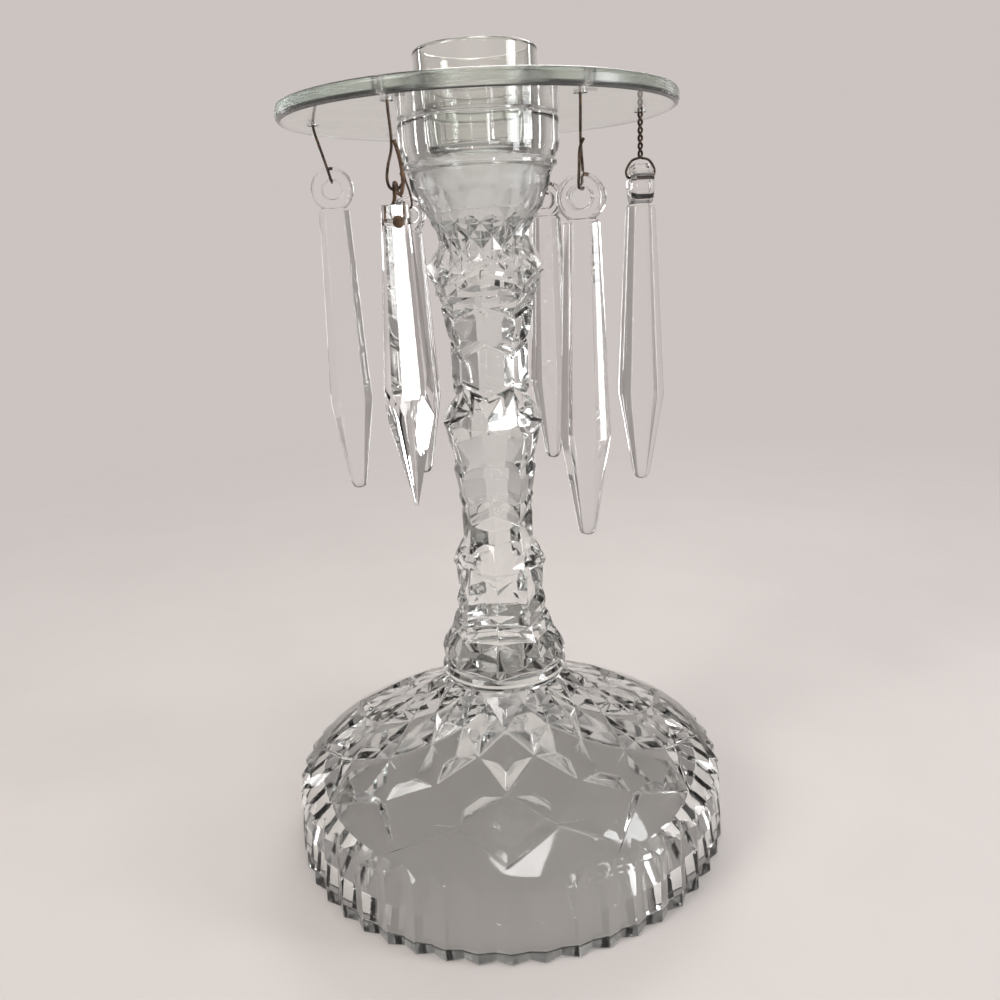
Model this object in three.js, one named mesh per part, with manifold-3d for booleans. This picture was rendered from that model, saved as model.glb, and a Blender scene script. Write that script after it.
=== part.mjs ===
import * as THREE from 'three';
import { mergeVertices } from 'three/addons/utils/BufferGeometryUtils.js';
import Module from 'manifold-3d';

// Candlestick of pressed glass with a drip dish and six hanging prisms.
// Millimetres, Z up, the foot stands on z = 0, the front of the stick faces -Y.
// Azimuths are in degrees, counted from the front towards +X.

const solidKit = await Module();
solidKit.setup();

// Foot: fluted rim band
const TOOTH_COUNT = 48;
const TOOTH_PHASE = -1.45;
const RIM_TIP_RADIUS_BOTTOM = 65.2;
const RIM_TIP_RADIUS_TOP = 64.3;
const RIM_GROOVE_DEPTH = 1.7;
const RIM_RIDGE_TOP = { height: 20.5, inwards: 3.4, upwards: 3.9 };
const RIM_GROOVE_TOP = { height: 20.0, inwards: 2.4, upwards: 6.0 };
const BAND_TOP = 60;

// Foot: dome with a diamond lattice, in every diamond a boss with two steep lower facets
const LATTICE_COUNT = 12;
const FOOT_LATTICE_PHASE = -1.45;
const FOOT_RINGS = [
  { radius: 58.4, height: 24.6 },
  { radius: 48.3, height: 27.8 },
  { radius: 39.4, height: 32.1 },
  { radius: 30.0, height: 37.3 },
  { radius: 23.8, height: 42.1 },
  { radius: 18.2, height: 47.6 },
  { radius: 15.6, height: 51.3 },
];
const BOSS_INSET = { peak: 3.3, brink: 3.3 };
const LOWEST_BOSS_INSET = { peak: 1.7, brink: 2.6 };
const BOSS_BRINK_ALONG = 0.62;
const BOSS_MOST_SHARE = 0.72;
const BOSS_STEEPNESS = 0.5;
const SHOULDER_RISE = 1.15;
const SHOULDER_LAND = { radius: 59.2, height: 24.4 };
const SHOULDER_INNER = { radius: 61.4, height: 23.25 };
const SHOULDER_OUTER = { radius: 68, height: 18.0 };
const FORK_LAND_WIDTH = 2.9;
const FOOT_SKIRT_RADIUS = 70;

// Foot: hollow under the dome
const RIM_WALL = 5.1;
const HOLLOW_OPENING_RADIUS = RIM_TIP_RADIUS_BOTTOM - RIM_GROOVE_DEPTH - RIM_WALL;
const HOLLOW_PROFILE = [
  [HOLLOW_OPENING_RADIUS, -1], [HOLLOW_OPENING_RADIUS, 0], [HOLLOW_OPENING_RADIUS - 1, 8],
  [HOLLOW_OPENING_RADIUS - 4, 15], [49, 20.4], [42, 23.6], [33, 26.4], [25, 29.6],
  [17, 32.8], [9, 35.4], [0, 36],
];
const HOLLOW_SEGMENTS = 36;

// Ring between foot and stem
const COLLAR_RING_RADIUS = 18.7;
const COLLAR_RING_BOTTOM = 50.6;
const COLLAR_RING_TOP = 54.6;
const COLLAR_RING_ROUND = 0.9;

// Stem: four ridges and four side lines between them, one row for every crease, from below.
// Each spot is radius and height; a bend also has its angle from the ridge.
const STEM_PHASE = -6;
const PLAIN_BEND_ANGLE = 24;
const STEM_ROWS = [
  { ridge: [14.0, 48.0], side: [14.0, 48.0] },
  { ridge: [18.2, 54.9], side: [17.4, 55.6], bend: [25, 16.7, 55.9] },
  { ridge: [18.5, 58.0], side: [17.2, 59.2], bend: [31, 16.0, 60.0] },
  { ridge: [17.6, 61.0], side: [16.0, 61.4], bend: [33, 15.1, 62.2] },
  { ridge: [15.3, 64.6], side: [14.9, 63.0], bend: [34, 14.0, 63.8] },
  { ridge: [14.1, 68.7], side: [13.8, 65.4], bend: [25, 13.3, 67.2] },
  { ridge: [12.9, 70.2], side: [13.2, 67.6], bend: [25, 12.2, 68.9] },
  { ridge: [13.4, 72.9], side: [13.3, 71.0], bend: [38, 12.6, 71.5] },
  { ridge: [12.4, 76.4], side: [12.1, 74.2], bend: [33, 11.0, 74.8] },
  { ridge: [12.7, 79.8], side: [12.2, 78.4] },
  { ridge: [12.9, 83.0], side: [10.9, 84.9], bend: [37, 10.9, 84.2] },
  { ridge: [13.9, 85.3], side: [10.5, 87.0] },
  { ridge: [12.7, 87.9], side: [11.0, 90.3] },
  { ridge: [10.2, 92.8], side: [10.3, 93.8] },
  { ridge: [10.3, 100.6], side: [9.7, 97.2] },
  { ridge: [10.1, 101.6], side: [9.3, 98.0] },
  { ridge: [10.9, 105.2], side: [10.2, 99.8] },
  { ridge: [10.6, 106.6], side: [10.5, 104.2], bend: [34, 9.7, 104.0] },
  { ridge: [11.9, 113.1], side: [11.6, 111.2] },
  { ridge: [11.3, 116.3], side: [11.0, 113.4], bend: [29, 10.4, 115.1] },
  { ridge: [12.5, 120.0], side: [12.1, 118.4], bend: [30, 11.5, 117.0] },
  { ridge: [13.6, 125.4], side: [13.4, 122.5] },
  { ridge: [14.3, 126.7], side: [10.7, 126.5], bend: [34, 10.8, 126.0] },
  { ridge: [13.4, 129.8], side: [10.1, 130.9] },
  { ridge: [10.1, 134.0], side: [9.9, 135.7] },
  { ridge: [10.1, 134.7], side: [9.5, 137.4] },
  { ridge: [10.7, 135.7], side: [10.1, 138.4] },
  { ridge: [10.8, 148.8], side: [10.0, 144.8] },
  { ridge: [10.2, 149.4], side: [9.4, 145.4] },
  { ridge: [11.1, 150.5], side: [9.9, 146.4] },
  { ridge: [11.4, 151.6], side: [10.3, 150.6], bend: [31, 10.0, 150.1] },
  { ridge: [12.3, 156.4], side: [11.5, 153.4] },
  { ridge: [12.7, 158.2], side: [11.4, 155.1] },
  { ridge: [12.1, 159.0], side: [10.6, 156.0] },
  { ridge: [12.7, 159.9], side: [10.9, 156.9] },
  { ridge: [14.5, 165.3], side: [14.5, 162.1] },
  { ridge: [15.9, 167.4], side: [15.3, 163.6] },
  { ridge: [12.4, 168.7], side: [12.2, 165.0] },
  { ridge: [9.5, 172.0], side: [9.5, 170.0] },
  { ridge: [8.0, 181.0], side: [8.0, 181.0] },
];

// Stem: the smooth wings on its left and right, a tip inside a six-sided outline.
// Each spot is the angle from the ridge, radius and height.
const WING_TIP = [0, 15.9, 169.5];
const WING_ROOT = [0, 4.0, 168.0];
const WING_OUTLINE = [
  [0, 11.4, 176.6], [40, 12.3, 174.0], [45, 15.3, 163.9],
  [0, 14.6, 165.4], [-45, 15.3, 163.9], [-40, 12.3, 174.0],
];

// Capital: small pointed pyramids under the candle cup
const CAPITAL_PHASE = -3;
const CAPITAL_RINGS = [
  { radius: 13.9, height: 161.6 },
  { radius: 12.7, height: 164.5 },
  { radius: 11.4, height: 167.4 },
  { radius: 10.7, height: 170.3 },
  { radius: 10.5, height: 173.2 },
  { radius: 11.2, height: 176.4 },
  { radius: 12.9, height: 180.2 },
  { radius: 15.3, height: 184.4 },
  { radius: 17.8, height: 189.0 },
  { radius: 19.2, height: 194.0 },
];
const PYRAMID_RISE = 1.35;

// Candle cup, its bead and groove low on the wall, and the socket inside it
const CUP_TOP = 205.5;
const CUP_BASE = 188;
const CUP_BASE_RADIUS = 16.5;
const CUP_RADIUS = 20.9;
const CUP_BEAD = { radius: 20.2, height: 194.5 };
const CUP_GROOVE = { radius: 19.5, height: 195.3 };
const CUP_SHOULDER_HEIGHT = 198.6;
const CUP_EDGE_ROUND = 0.6;
const SOCKET_FLOOR = { radius: 10.4, height: 184.6 };
const SOCKET_BEND = { radius: 12.4, height: 188.6 };
const SOCKET_WALL = { radius: 13.9, height: 196 };
const SOCKET_MOUTH_RADIUS = 14.1;
const TURNED_SEGMENTS = 44;

// Drip dish with its candle collar and the short peg below
const DISH_SEAT_GAP = 0.05;
const DISH_UNDERSIDE = CUP_TOP + DISH_SEAT_GAP;
const DISH_THICKNESS = 3.9;
const DISH_TOP = DISH_UNDERSIDE + DISH_THICKNESS;
const DISH_RADIUS = 51;
const DISH_EDGE_ROUND = 1.1;
const COLLAR_RADIUS = 15.84;
const COLLAR_BORE_RADIUS = 13.6;
const COLLAR_TOP = 221.9;
const COLLAR_FILLET = 1.4;
const PEG_CLEARANCE = 0.6;
const PEG_TAPER = 0.2;
const PEG_RADIUS = SOCKET_MOUTH_RADIUS - PEG_CLEARANCE - PEG_TAPER;
const PEG_BORE_RADIUS = 11.2;
const PEG_LENGTH = 6.8;
const WIRE_HOLE_RADIUS = 1.5;
const WIRE_HOLE_CIRCLE = 42.28;
const WIRE_HOLE_PHASE = 2.6;
const WIRE_HOLE_COUNT = 6;
const WIRE_HOLE_SEGMENTS = 12;
const DISH_SEGMENTS = 56;

// Ring-eyed prism
const EYE_OUTER_RADIUS = 5.55;
const EYE_HOLE_RADIUS = 2.4;
const EYE_HALF_WIDTH = 3.0;
const EYE_ROUND = 0.9;
const EYE_SEGMENTS = 20;
const EYE_ABOVE_BODY = 4.7;
const PRISM_SHOULDER_DROP = 50.5;
const PRISM_LENGTH = 75.4;
const PRISM_TOP_HALF = { width: 3.95, depth: 3.6, chamfer: 1.5 };
const PRISM_SHOULDER_HALF = { width: 5.65, depth: 5.9, chamfer: 2.2 };

// Spear prism held by a headed pin
const SPEAR_LENGTH = 70.6;
const SPEAR_WIDEST_DROP = 44.5;
const SPEAR_TOP_ABOVE_PIN = 3.7;
const SPEAR_HOLE_RADIUS = 0.75;
const PIN_RADIUS = 0.45;
const PIN_HEAD_RADIUS = 1.35;

// Hanging wires
const WIRE_RADIUS = 0.34;
const WIRE_SIDES = 6;
const WIRE_REST_GAP = 0.04;
const WIRE_EYE_GAP = 0.06;
const WIRE_TOP_LEG = 4.6;
const LOOP_SIDE_GAP = 0.75;
const TWIST_RADIUS = 0.44;

// Every hanging place round the dish: azimuth of the hole, drop from the dish to the centre
// of the eye and to the fork of the wire, the way the eye looks, and how far the bent wire
// carries the eye inwards
const HANGINGS = [
  { name: 'left', hole: -90, eyeDrop: 15.65, forkDrop: 5.15, facing: 8, inset: 3.6 },
  { name: 'front_right', hole: 30, eyeDrop: 21.85, forkDrop: 9.95, facing: -14, inset: 0.4 },
  { name: 'right', hole: 90, eyeDrop: 17.95, forkDrop: 10.95, facing: 90, inset: 0, twisted: true },
  { name: 'back_right', hole: 150, eyeDrop: 19.15, forkDrop: 9.05, facing: 160, inset: 0 },
  { name: 'back_left', hole: -150, eyeDrop: 21.65, forkDrop: 10.15, facing: -148, inset: 0 },
];
const SPEAR_HANGING = { name: 'front_left', hole: -30, pinDrop: 25.25, hookDrop: 18.35, facing: 14 };

// Looks of the materials
const STICK_COLOUR = 0xe9eeea;
const DISH_COLOUR = 0xd5e0d8;
const PRISM_COLOUR = 0xf1efec;
const WIRE_COLOUR = 0x4a4038;
const PIN_COLOUR = 0x7a5a32;
const GLASS_ROUGHNESS = 0.06;
const WIRE_ROUGHNESS = 0.45;

function polar(radius, azimuth, height) {
  const angle = THREE.MathUtils.degToRad(azimuth);
  return new THREE.Vector3(radius * Math.sin(angle), -radius * Math.cos(angle), height);
}

// Gathers triangles one by one into a closed mesh
class FacetList {
  constructor() {
    this.corners = [];
  }

  triangle(a, b, c) {
    this.corners.push(a.clone(), b.clone(), c.clone());
  }

  quad(a, b, c, d) {
    this.triangle(a, b, c);
    this.triangle(a, c, d);
  }

  fan(centre, ring, inward) {
    for (let i = 0; i < ring.length; i += 1) {
      const next = ring[(i + 1) % ring.length];
      if (inward) {
        this.triangle(centre, next, ring[i]);
      } else {
        this.triangle(centre, ring[i], next);
      }
    }
  }

  geometry() {
    return new THREE.BufferGeometry().setFromPoints(this.corners);
  }
}

// A boolean solid from a three.js geometry: corners merged, slivers dropped, outward facing
function solidFrom(geometry) {
  const bare = geometry.clone();
  bare.deleteAttribute('normal');
  bare.deleteAttribute('uv');
  const merged = mergeVertices(bare, 1e-4);
  const positions = merged.attributes.position.array;
  const index = merged.index.array;
  const kept = [];
  for (let i = 0; i < index.length; i += 3) {
    const [a, b, c] = [index[i], index[i + 1], index[i + 2]];
    if (a !== b && b !== c && a !== c) {
      kept.push(a, b, c);
    }
  }
  if (signedVolume(positions, kept) < 0) {
    for (let i = 0; i < kept.length; i += 3) {
      [kept[i + 1], kept[i + 2]] = [kept[i + 2], kept[i + 1]];
    }
  }
  const mesh = new solidKit.Mesh({
    numProp: 3,
    vertProperties: new Float32Array(positions),
    triVerts: new Uint32Array(kept),
  });
  return new solidKit.Manifold(mesh);
}

function signedVolume(positions, index) {
  const a = new THREE.Vector3();
  const b = new THREE.Vector3();
  const c = new THREE.Vector3();
  let sum = 0;
  for (let i = 0; i < index.length; i += 3) {
    a.fromArray(positions, index[i] * 3);
    b.fromArray(positions, index[i + 1] * 3);
    c.fromArray(positions, index[i + 2] * 3);
    sum += a.dot(b.cross(c));
  }
  return sum / 6;
}

function geometryFrom(solid) {
  const mesh = solid.getMesh();
  const points = [];
  for (const vertex of mesh.triVerts) {
    points.push(new THREE.Vector3().fromArray(mesh.vertProperties, vertex * mesh.numProp));
  }
  const geometry = new THREE.BufferGeometry().setFromPoints(points);
  geometry.computeVertexNormals();
  return geometry;
}

// A turned solid: the profile is a list of radius and height
function turned(profile, segments, phase = 0) {
  const points = profile.map(([radius, height]) => new THREE.Vector2(radius, height));
  const geometry = new THREE.LatheGeometry(points, segments);
  geometry.rotateX(Math.PI / 2);
  geometry.rotateZ(THREE.MathUtils.degToRad(phase));
  return geometry;
}

// A solid from closed rings of equal length, listed from the bottom upwards.
// Each four-cornered face is split along the diagonal that stands out.
function loft(rings) {
  const facets = new FacetList();
  for (let k = 0; k + 1 < rings.length; k += 1) {
    const low = rings[k];
    const high = rings[k + 1];
    for (let i = 0; i < low.length; i += 1) {
      const j = (i + 1) % low.length;
      if (standsOut(low[i], low[j], high[j], high[i])) {
        facets.quad(low[i], low[j], high[j], high[i]);
      } else {
        facets.quad(low[j], high[j], high[i], low[i]);
      }
    }
  }
  facets.fan(ringCentre(rings[0]), rings[0], true);
  const top = rings[rings.length - 1];
  facets.fan(ringCentre(top), top, false);
  return facets.geometry();
}

// Whether the diagonal from a to c lies outside the one from b to d
function standsOut(a, b, c, d) {
  const normal = b.clone().sub(a).cross(c.clone().sub(a));
  return normal.dot(d.clone().sub(a)) <= 0;
}

function ringCentre(ring) {
  const centre = new THREE.Vector3();
  for (const point of ring) {
    centre.add(point);
  }
  return centre.divideScalar(ring.length);
}

// The outward normal of a diamond, from its corners top, right, bottom and left
function diamondNormal([top, right, bottom, left]) {
  return right.clone().sub(left).cross(top.clone().sub(bottom)).normalize();
}

// One pointed pyramid over the four corners of a diamond
function addPyramid(facets, corners) {
  const lift = diamondNormal(corners).multiplyScalar(PYRAMID_RISE);
  const peak = corners[1].clone().lerp(corners[3], 0.5).add(lift);
  for (let i = 0; i < 4; i += 1) {
    facets.triangle(corners[(i + 1) % 4], corners[i], peak);
  }
}

// One boss of the foot: from its top corner it rises gently to a brink with a peak in the
// middle, and two steep facets fall from there to the lower sides of the diamond. The insets
// are the widths of these facets, held back where the diamond is small.
function addBoss(facets, corners, ring) {
  const [top, right, bottom, left] = corners;
  const normal = diamondNormal(corners);
  const centre = right.clone().lerp(left, 0.5).lerp(top.clone().lerp(bottom, 0.5), 0.5);
  const halfAcross = right.distanceTo(left) / 2;
  const halfAlong = top.distanceTo(bottom) / 2;
  const sideDistance = halfAcross * halfAlong / Math.hypot(halfAcross, halfAlong);
  const wanted = ring === 1 ? LOWEST_BOSS_INSET : BOSS_INSET;
  const peakInset = Math.min(wanted.peak, BOSS_MOST_SHARE * sideDistance);
  const inset = Math.min(wanted.brink, BOSS_MOST_SHARE * sideDistance);
  const peak = bottom.clone().lerp(centre, peakInset / sideDistance);
  peak.addScaledVector(normal, BOSS_STEEPNESS * peakInset);
  const brinkBy = (side) => {
    const along = side.clone().sub(bottom);
    const inwards = normal.clone().cross(along).normalize();
    if (inwards.dot(centre.clone().sub(bottom)) < 0) {
      inwards.negate();
    }
    const spot = bottom.clone().addScaledVector(along, BOSS_BRINK_ALONG);
    return spot.addScaledVector(inwards, inset).addScaledVector(normal, BOSS_STEEPNESS * inset);
  };
  const brinkRight = brinkBy(right);
  const brinkLeft = brinkBy(left);
  facets.quad(bottom, right, brinkRight, peak);
  facets.quad(left, bottom, peak, brinkLeft);
  facets.triangle(right, top, brinkRight);
  facets.triangle(brinkRight, top, peak);
  facets.triangle(peak, top, brinkLeft);
  facets.triangle(brinkLeft, top, left);
}

function latticeNodes(rings, phase) {
  const step = 360 / LATTICE_COUNT;
  return rings.map((ring, k) => {
    const nodes = [];
    for (let i = 0; i < LATTICE_COUNT; i += 1) {
      const azimuth = phase + step * (i + (k % 2) / 2);
      nodes.push(polar(ring.radius, azimuth, ring.height));
    }
    return nodes;
  });
}

// The full diamonds between the first and the last ring, rings listed from below
function addLattice(facets, nodes, addCell) {
  for (let k = 1; k + 1 < nodes.length; k += 1) {
    for (let i = 0; i < LATTICE_COUNT; i += 1) {
      const left = nodes[k][i];
      const right = nodes[k][(i + 1) % LATTICE_COUNT];
      const middle = (i + k % 2) % LATTICE_COUNT;
      addCell(facets, [nodes[k + 1][middle], right, nodes[k - 1][middle], left], k);
    }
  }
}

// The dome: lattice, plain shoulder outside it, and a skirt down past the table
function footDome() {
  const facets = new FacetList();
  const nodes = latticeNodes(FOOT_RINGS, FOOT_LATTICE_PHASE);
  addLattice(facets, nodes, addBoss);
  const topRing = nodes[nodes.length - 1];
  const under = nodes[nodes.length - 2];
  const topShift = (nodes.length - 1) % 2;
  for (let i = 0; i < LATTICE_COUNT; i += 1) {
    const lower = topShift === 0 ? under[i] : under[(i + 1) % LATTICE_COUNT];
    facets.triangle(topRing[i], lower, topRing[(i + 1) % LATTICE_COUNT]);
  }
  facets.fan(ringCentre(topRing), topRing, false);
  addShoulder(facets, nodes);
  return facets.geometry();
}

// The smooth land between the outermost grooves and the tops of the teeth
function addShoulder(facets, nodes) {
  const step = 360 / LATTICE_COUNT;
  const tipLand = SHOULDER_LAND;
  const forkLand = {
    radius: FOOT_RINGS[1].radius + FORK_LAND_WIDTH,
    height: FOOT_RINGS[1].height + SHOULDER_RISE,
  };
  const bottomRing = [];
  for (let i = 0; i < LATTICE_COUNT; i += 1) {
    const azimuth = FOOT_LATTICE_PHASE + step * i;
    const tip = nodes[0][i];
    const nextTip = nodes[0][(i + 1) % LATTICE_COUNT];
    const fork = nodes[1][i];
    const tipOut = polar(tipLand.radius, azimuth, tipLand.height);
    const nextTipOut = polar(tipLand.radius, azimuth + step, tipLand.height);
    const forkOut = polar(forkLand.radius, azimuth + step / 2, forkLand.height);
    facets.quad(tip, tipOut, forkOut, fork);
    facets.quad(fork, forkOut, nextTipOut, nextTip);
    addShoulderSector(facets, tipOut, forkOut, azimuth, step / 2);
    addShoulderSector(facets, forkOut, nextTipOut, azimuth + step / 2, step / 2);
    for (let q = 0; q < 4; q += 1) {
      bottomRing.push(polar(FOOT_SKIRT_RADIUS, azimuth + q * step / 4, -2));
    }
  }
  facets.fan(new THREE.Vector3(0, 0, -2), bottomRing, true);
}

function addShoulderSector(facets, nearStart, nearEnd, azimuth, span) {
  const at = (spot, share) => polar(spot.radius, azimuth + span * share, spot.height);
  const inner = [0, 0.5, 1].map((share) => at(SHOULDER_INNER, share));
  const outer = [0, 0.5, 1].map((share) => at(SHOULDER_OUTER, share));
  const skirt = { radius: FOOT_SKIRT_RADIUS, height: -2 };
  const foot = [0, 0.5, 1].map((share) => at(skirt, share));
  facets.triangle(nearStart, inner[0], inner[1]);
  facets.triangle(nearStart, inner[1], nearEnd);
  facets.triangle(nearEnd, inner[1], inner[2]);
  for (let i = 0; i < 2; i += 1) {
    facets.quad(inner[i], outer[i], outer[i + 1], inner[i + 1]);
    facets.quad(outer[i], foot[i], foot[i + 1], outer[i + 1]);
  }
}

// The toothed band: its ridges are chamfered at the top and its grooves run out inwards
function rimBand() {
  const ring = (tip, valley) => {
    const points = [];
    for (let i = 0; i < TOOTH_COUNT * 2; i += 1) {
      const spot = i % 2 === 0 ? tip : valley;
      points.push(polar(spot.radius, TOOTH_PHASE + i * 180 / TOOTH_COUNT, spot.height));
    }
    return points;
  };
  const tipRadius = RIM_TIP_RADIUS_TOP;
  const valleyRadius = RIM_TIP_RADIUS_TOP - RIM_GROOVE_DEPTH;
  const runOut = (radius, { height, inwards, upwards }) => (
    { radius: radius - inwards, height: height + upwards });
  const tipEnd = runOut(tipRadius, RIM_RIDGE_TOP);
  const valleyEnd = runOut(valleyRadius, RIM_GROOVE_TOP);
  return loft([
    ring(
      { radius: RIM_TIP_RADIUS_BOTTOM, height: 0 },
      { radius: RIM_TIP_RADIUS_BOTTOM - RIM_GROOVE_DEPTH, height: 0 },
    ),
    ring(
      { radius: tipRadius, height: RIM_RIDGE_TOP.height },
      { radius: valleyRadius, height: RIM_GROOVE_TOP.height },
    ),
    ring(tipEnd, valleyEnd),
    ring({ radius: tipEnd.radius, height: BAND_TOP }, { radius: valleyEnd.radius, height: BAND_TOP }),
  ]);
}

function footSolid() {
  const band = solidFrom(rimBand());
  const dome = solidFrom(footDome());
  const hollow = solidFrom(turned([[0, HOLLOW_PROFILE[0][1]], ...HOLLOW_PROFILE], HOLLOW_SEGMENTS));
  return band.intersect(dome).subtract(hollow);
}

function collarRing() {
  const round = COLLAR_RING_ROUND;
  const middle = (COLLAR_RING_BOTTOM + COLLAR_RING_TOP) / 2;
  return turned([
    [0, COLLAR_RING_BOTTOM],
    [COLLAR_RING_RADIUS - round, COLLAR_RING_BOTTOM],
    [COLLAR_RING_RADIUS - round * 0.2, middle - round * 0.9],
    [COLLAR_RING_RADIUS, middle],
    [COLLAR_RING_RADIUS - round * 0.2, middle + round * 0.9],
    [COLLAR_RING_RADIUS - round, COLLAR_RING_TOP],
    [COLLAR_RING_RADIUS - 2.2, COLLAR_RING_TOP + 0.3],
    [COLLAR_RING_RADIUS - 2.4, COLLAR_RING_TOP + 2.6],
    [0, COLLAR_RING_TOP + 2.6],
  ], TURNED_SEGMENTS);
}

// The point of the straight edge from ridge to side line that lies at the plain bend angle
function plainBend(ridge, side, ridgeRadius, sideRadius) {
  const slope = Math.tan(THREE.MathUtils.degToRad(PLAIN_BEND_ANGLE));
  const share = ridgeRadius * slope / (sideRadius * Math.SQRT1_2 * (1 - slope) + ridgeRadius * slope);
  return ridge.clone().lerp(side, share);
}

// The stem: each row gives the ridges, the side lines and the bends between them
function stemBody() {
  const rings = STEM_ROWS.map(({ ridge, side, bend }) => {
    const ring = [];
    for (let i = 0; i < 4; i += 1) {
      const azimuth = STEM_PHASE + i * 90;
      const start = polar(ridge[0], azimuth, ridge[1]);
      const middle = polar(side[0], azimuth + 45, side[1]);
      const end = polar(ridge[0], azimuth + 90, ridge[1]);
      if (bend) {
        const [angle, radius, height] = bend;
        ring.push(start, polar(radius, azimuth + angle, height));
        ring.push(middle, polar(radius, azimuth + 90 - angle, height));
      } else {
        ring.push(start, plainBend(start, middle, ridge[0], side[0]));
        ring.push(middle, plainBend(end, middle, ridge[0], side[0]));
      }
    }
    return ring;
  });
  return loft(rings);
}

// One smooth wing, its tip on the ridge at the given azimuth
function wingBody(azimuth) {
  const facets = new FacetList();
  const spot = ([angle, radius, height]) => polar(radius, azimuth + angle, height);
  const outline = WING_OUTLINE.map(spot).reverse();
  facets.fan(spot(WING_TIP), outline, false);
  facets.fan(spot(WING_ROOT), outline, true);
  return facets.geometry();
}

// The capital: pyramids, closed by the fans above and below
function capitalBody() {
  const facets = new FacetList();
  const nodes = latticeNodes(CAPITAL_RINGS, CAPITAL_PHASE);
  addLattice(facets, nodes, addPyramid);
  const last = nodes.length - 1;
  const bottom = nodes[0];
  const top = nodes[last];
  for (let i = 0; i < LATTICE_COUNT; i += 1) {
    const next = (i + 1) % LATTICE_COUNT;
    facets.triangle(bottom[i], bottom[next], nodes[1][i]);
    const lower = last % 2 === 0 ? nodes[last - 1][i] : nodes[last - 1][next];
    facets.triangle(top[i], lower, top[next]);
  }
  facets.fan(ringCentre(bottom), bottom, true);
  facets.fan(ringCentre(top), top, false);
  return facets.geometry();
}

function cupWall() {
  const edge = CUP_EDGE_ROUND;
  return turned([
    [0, CUP_BASE],
    [CUP_BASE_RADIUS, CUP_BASE],
    [CUP_BEAD.radius - edge * 1.5, CUP_BEAD.height - edge * 2.5],
    [CUP_BEAD.radius - edge * 0.2, CUP_BEAD.height - edge * 1.6],
    [CUP_BEAD.radius, CUP_BEAD.height],
    [CUP_GROOVE.radius, CUP_GROOVE.height],
    [CUP_RADIUS - edge, CUP_GROOVE.height + edge * 2.2],
    [CUP_RADIUS, CUP_SHOULDER_HEIGHT],
    [CUP_RADIUS, CUP_TOP - edge],
    [CUP_RADIUS - edge * 0.8, CUP_TOP],
    [0, CUP_TOP],
  ], TURNED_SEGMENTS);
}

// The socket for the candle, cut on past the top of the cup
function socket() {
  const past = CUP_TOP + 1.5;
  return turned([
    [0, SOCKET_FLOOR.height],
    [SOCKET_FLOOR.radius, SOCKET_FLOOR.height],
    [SOCKET_BEND.radius, SOCKET_BEND.height],
    [SOCKET_WALL.radius, SOCKET_WALL.height],
    [SOCKET_MOUTH_RADIUS, past],
    [0, past],
  ], TURNED_SEGMENTS);
}

function candlestickSolid() {
  return footSolid()
    .add(solidFrom(collarRing()))
    .add(solidFrom(stemBody()))
    .add(solidFrom(wingBody(STEM_PHASE + 90)))
    .add(solidFrom(wingBody(STEM_PHASE - 90)))
    .add(solidFrom(capitalBody()))
    .add(solidFrom(cupWall()))
    .subtract(solidFrom(socket()));
}

function dishSolid() {
  const round = DISH_EDGE_ROUND;
  const pegBottom = DISH_UNDERSIDE - PEG_LENGTH;
  const profile = [
    [PEG_BORE_RADIUS, pegBottom],
    [PEG_RADIUS - 0.5, pegBottom],
    [PEG_RADIUS, pegBottom + 0.6],
    [PEG_RADIUS + PEG_TAPER, DISH_UNDERSIDE],
    [DISH_RADIUS - round, DISH_UNDERSIDE],
    [DISH_RADIUS - round * 0.3, DISH_UNDERSIDE + round * 0.3],
    [DISH_RADIUS, DISH_UNDERSIDE + round],
    [DISH_RADIUS, DISH_TOP - round],
    [DISH_RADIUS - round * 0.3, DISH_TOP - round * 0.3],
    [DISH_RADIUS - round, DISH_TOP],
    [COLLAR_RADIUS + COLLAR_FILLET, DISH_TOP],
    [COLLAR_RADIUS + COLLAR_FILLET * 0.3, DISH_TOP + COLLAR_FILLET * 0.3],
    [COLLAR_RADIUS, DISH_TOP + COLLAR_FILLET],
    [COLLAR_RADIUS, COLLAR_TOP - 0.6],
    [COLLAR_RADIUS - 0.5, COLLAR_TOP],
    [COLLAR_BORE_RADIUS + 0.5, COLLAR_TOP],
    [COLLAR_BORE_RADIUS, COLLAR_TOP - 0.6],
    [COLLAR_BORE_RADIUS - 0.2, DISH_TOP + 2.4],
    [PEG_BORE_RADIUS + 0.5, DISH_TOP - 1.6],
    [PEG_BORE_RADIUS, pegBottom],
  ];
  let dish = solidFrom(turned(profile, DISH_SEGMENTS));
  for (let i = 0; i < WIRE_HOLE_COUNT; i += 1) {
    const spot = polar(WIRE_HOLE_CIRCLE, WIRE_HOLE_PHASE + 30 + i * 360 / WIRE_HOLE_COUNT, DISH_UNDERSIDE);
    const drill = new THREE.CylinderGeometry(WIRE_HOLE_RADIUS, WIRE_HOLE_RADIUS, 12, WIRE_HOLE_SEGMENTS);
    drill.rotateX(Math.PI / 2);
    drill.translate(spot.x, spot.y, spot.z);
    dish = dish.subtract(solidFrom(drill));
  }
  return dish;
}

// The ring eye, its hole along Y until the prism is turned
function eyeRing() {
  const round = EYE_ROUND;
  const half = EYE_HALF_WIDTH;
  const inner = EYE_HOLE_RADIUS;
  const outer = EYE_OUTER_RADIUS;
  const geometry = turned([
    [inner, -half + round * 0.6], [inner + round * 0.5, -half], [outer - round, -half],
    [outer, -half + round * 1.3], [outer, half - round * 1.3],
    [outer - round, half], [inner + round * 0.5, half], [inner, half - round * 0.6],
    [inner, -half + round * 0.6],
  ], EYE_SEGMENTS);
  geometry.rotateX(Math.PI / 2);
  return geometry;
}

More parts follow.
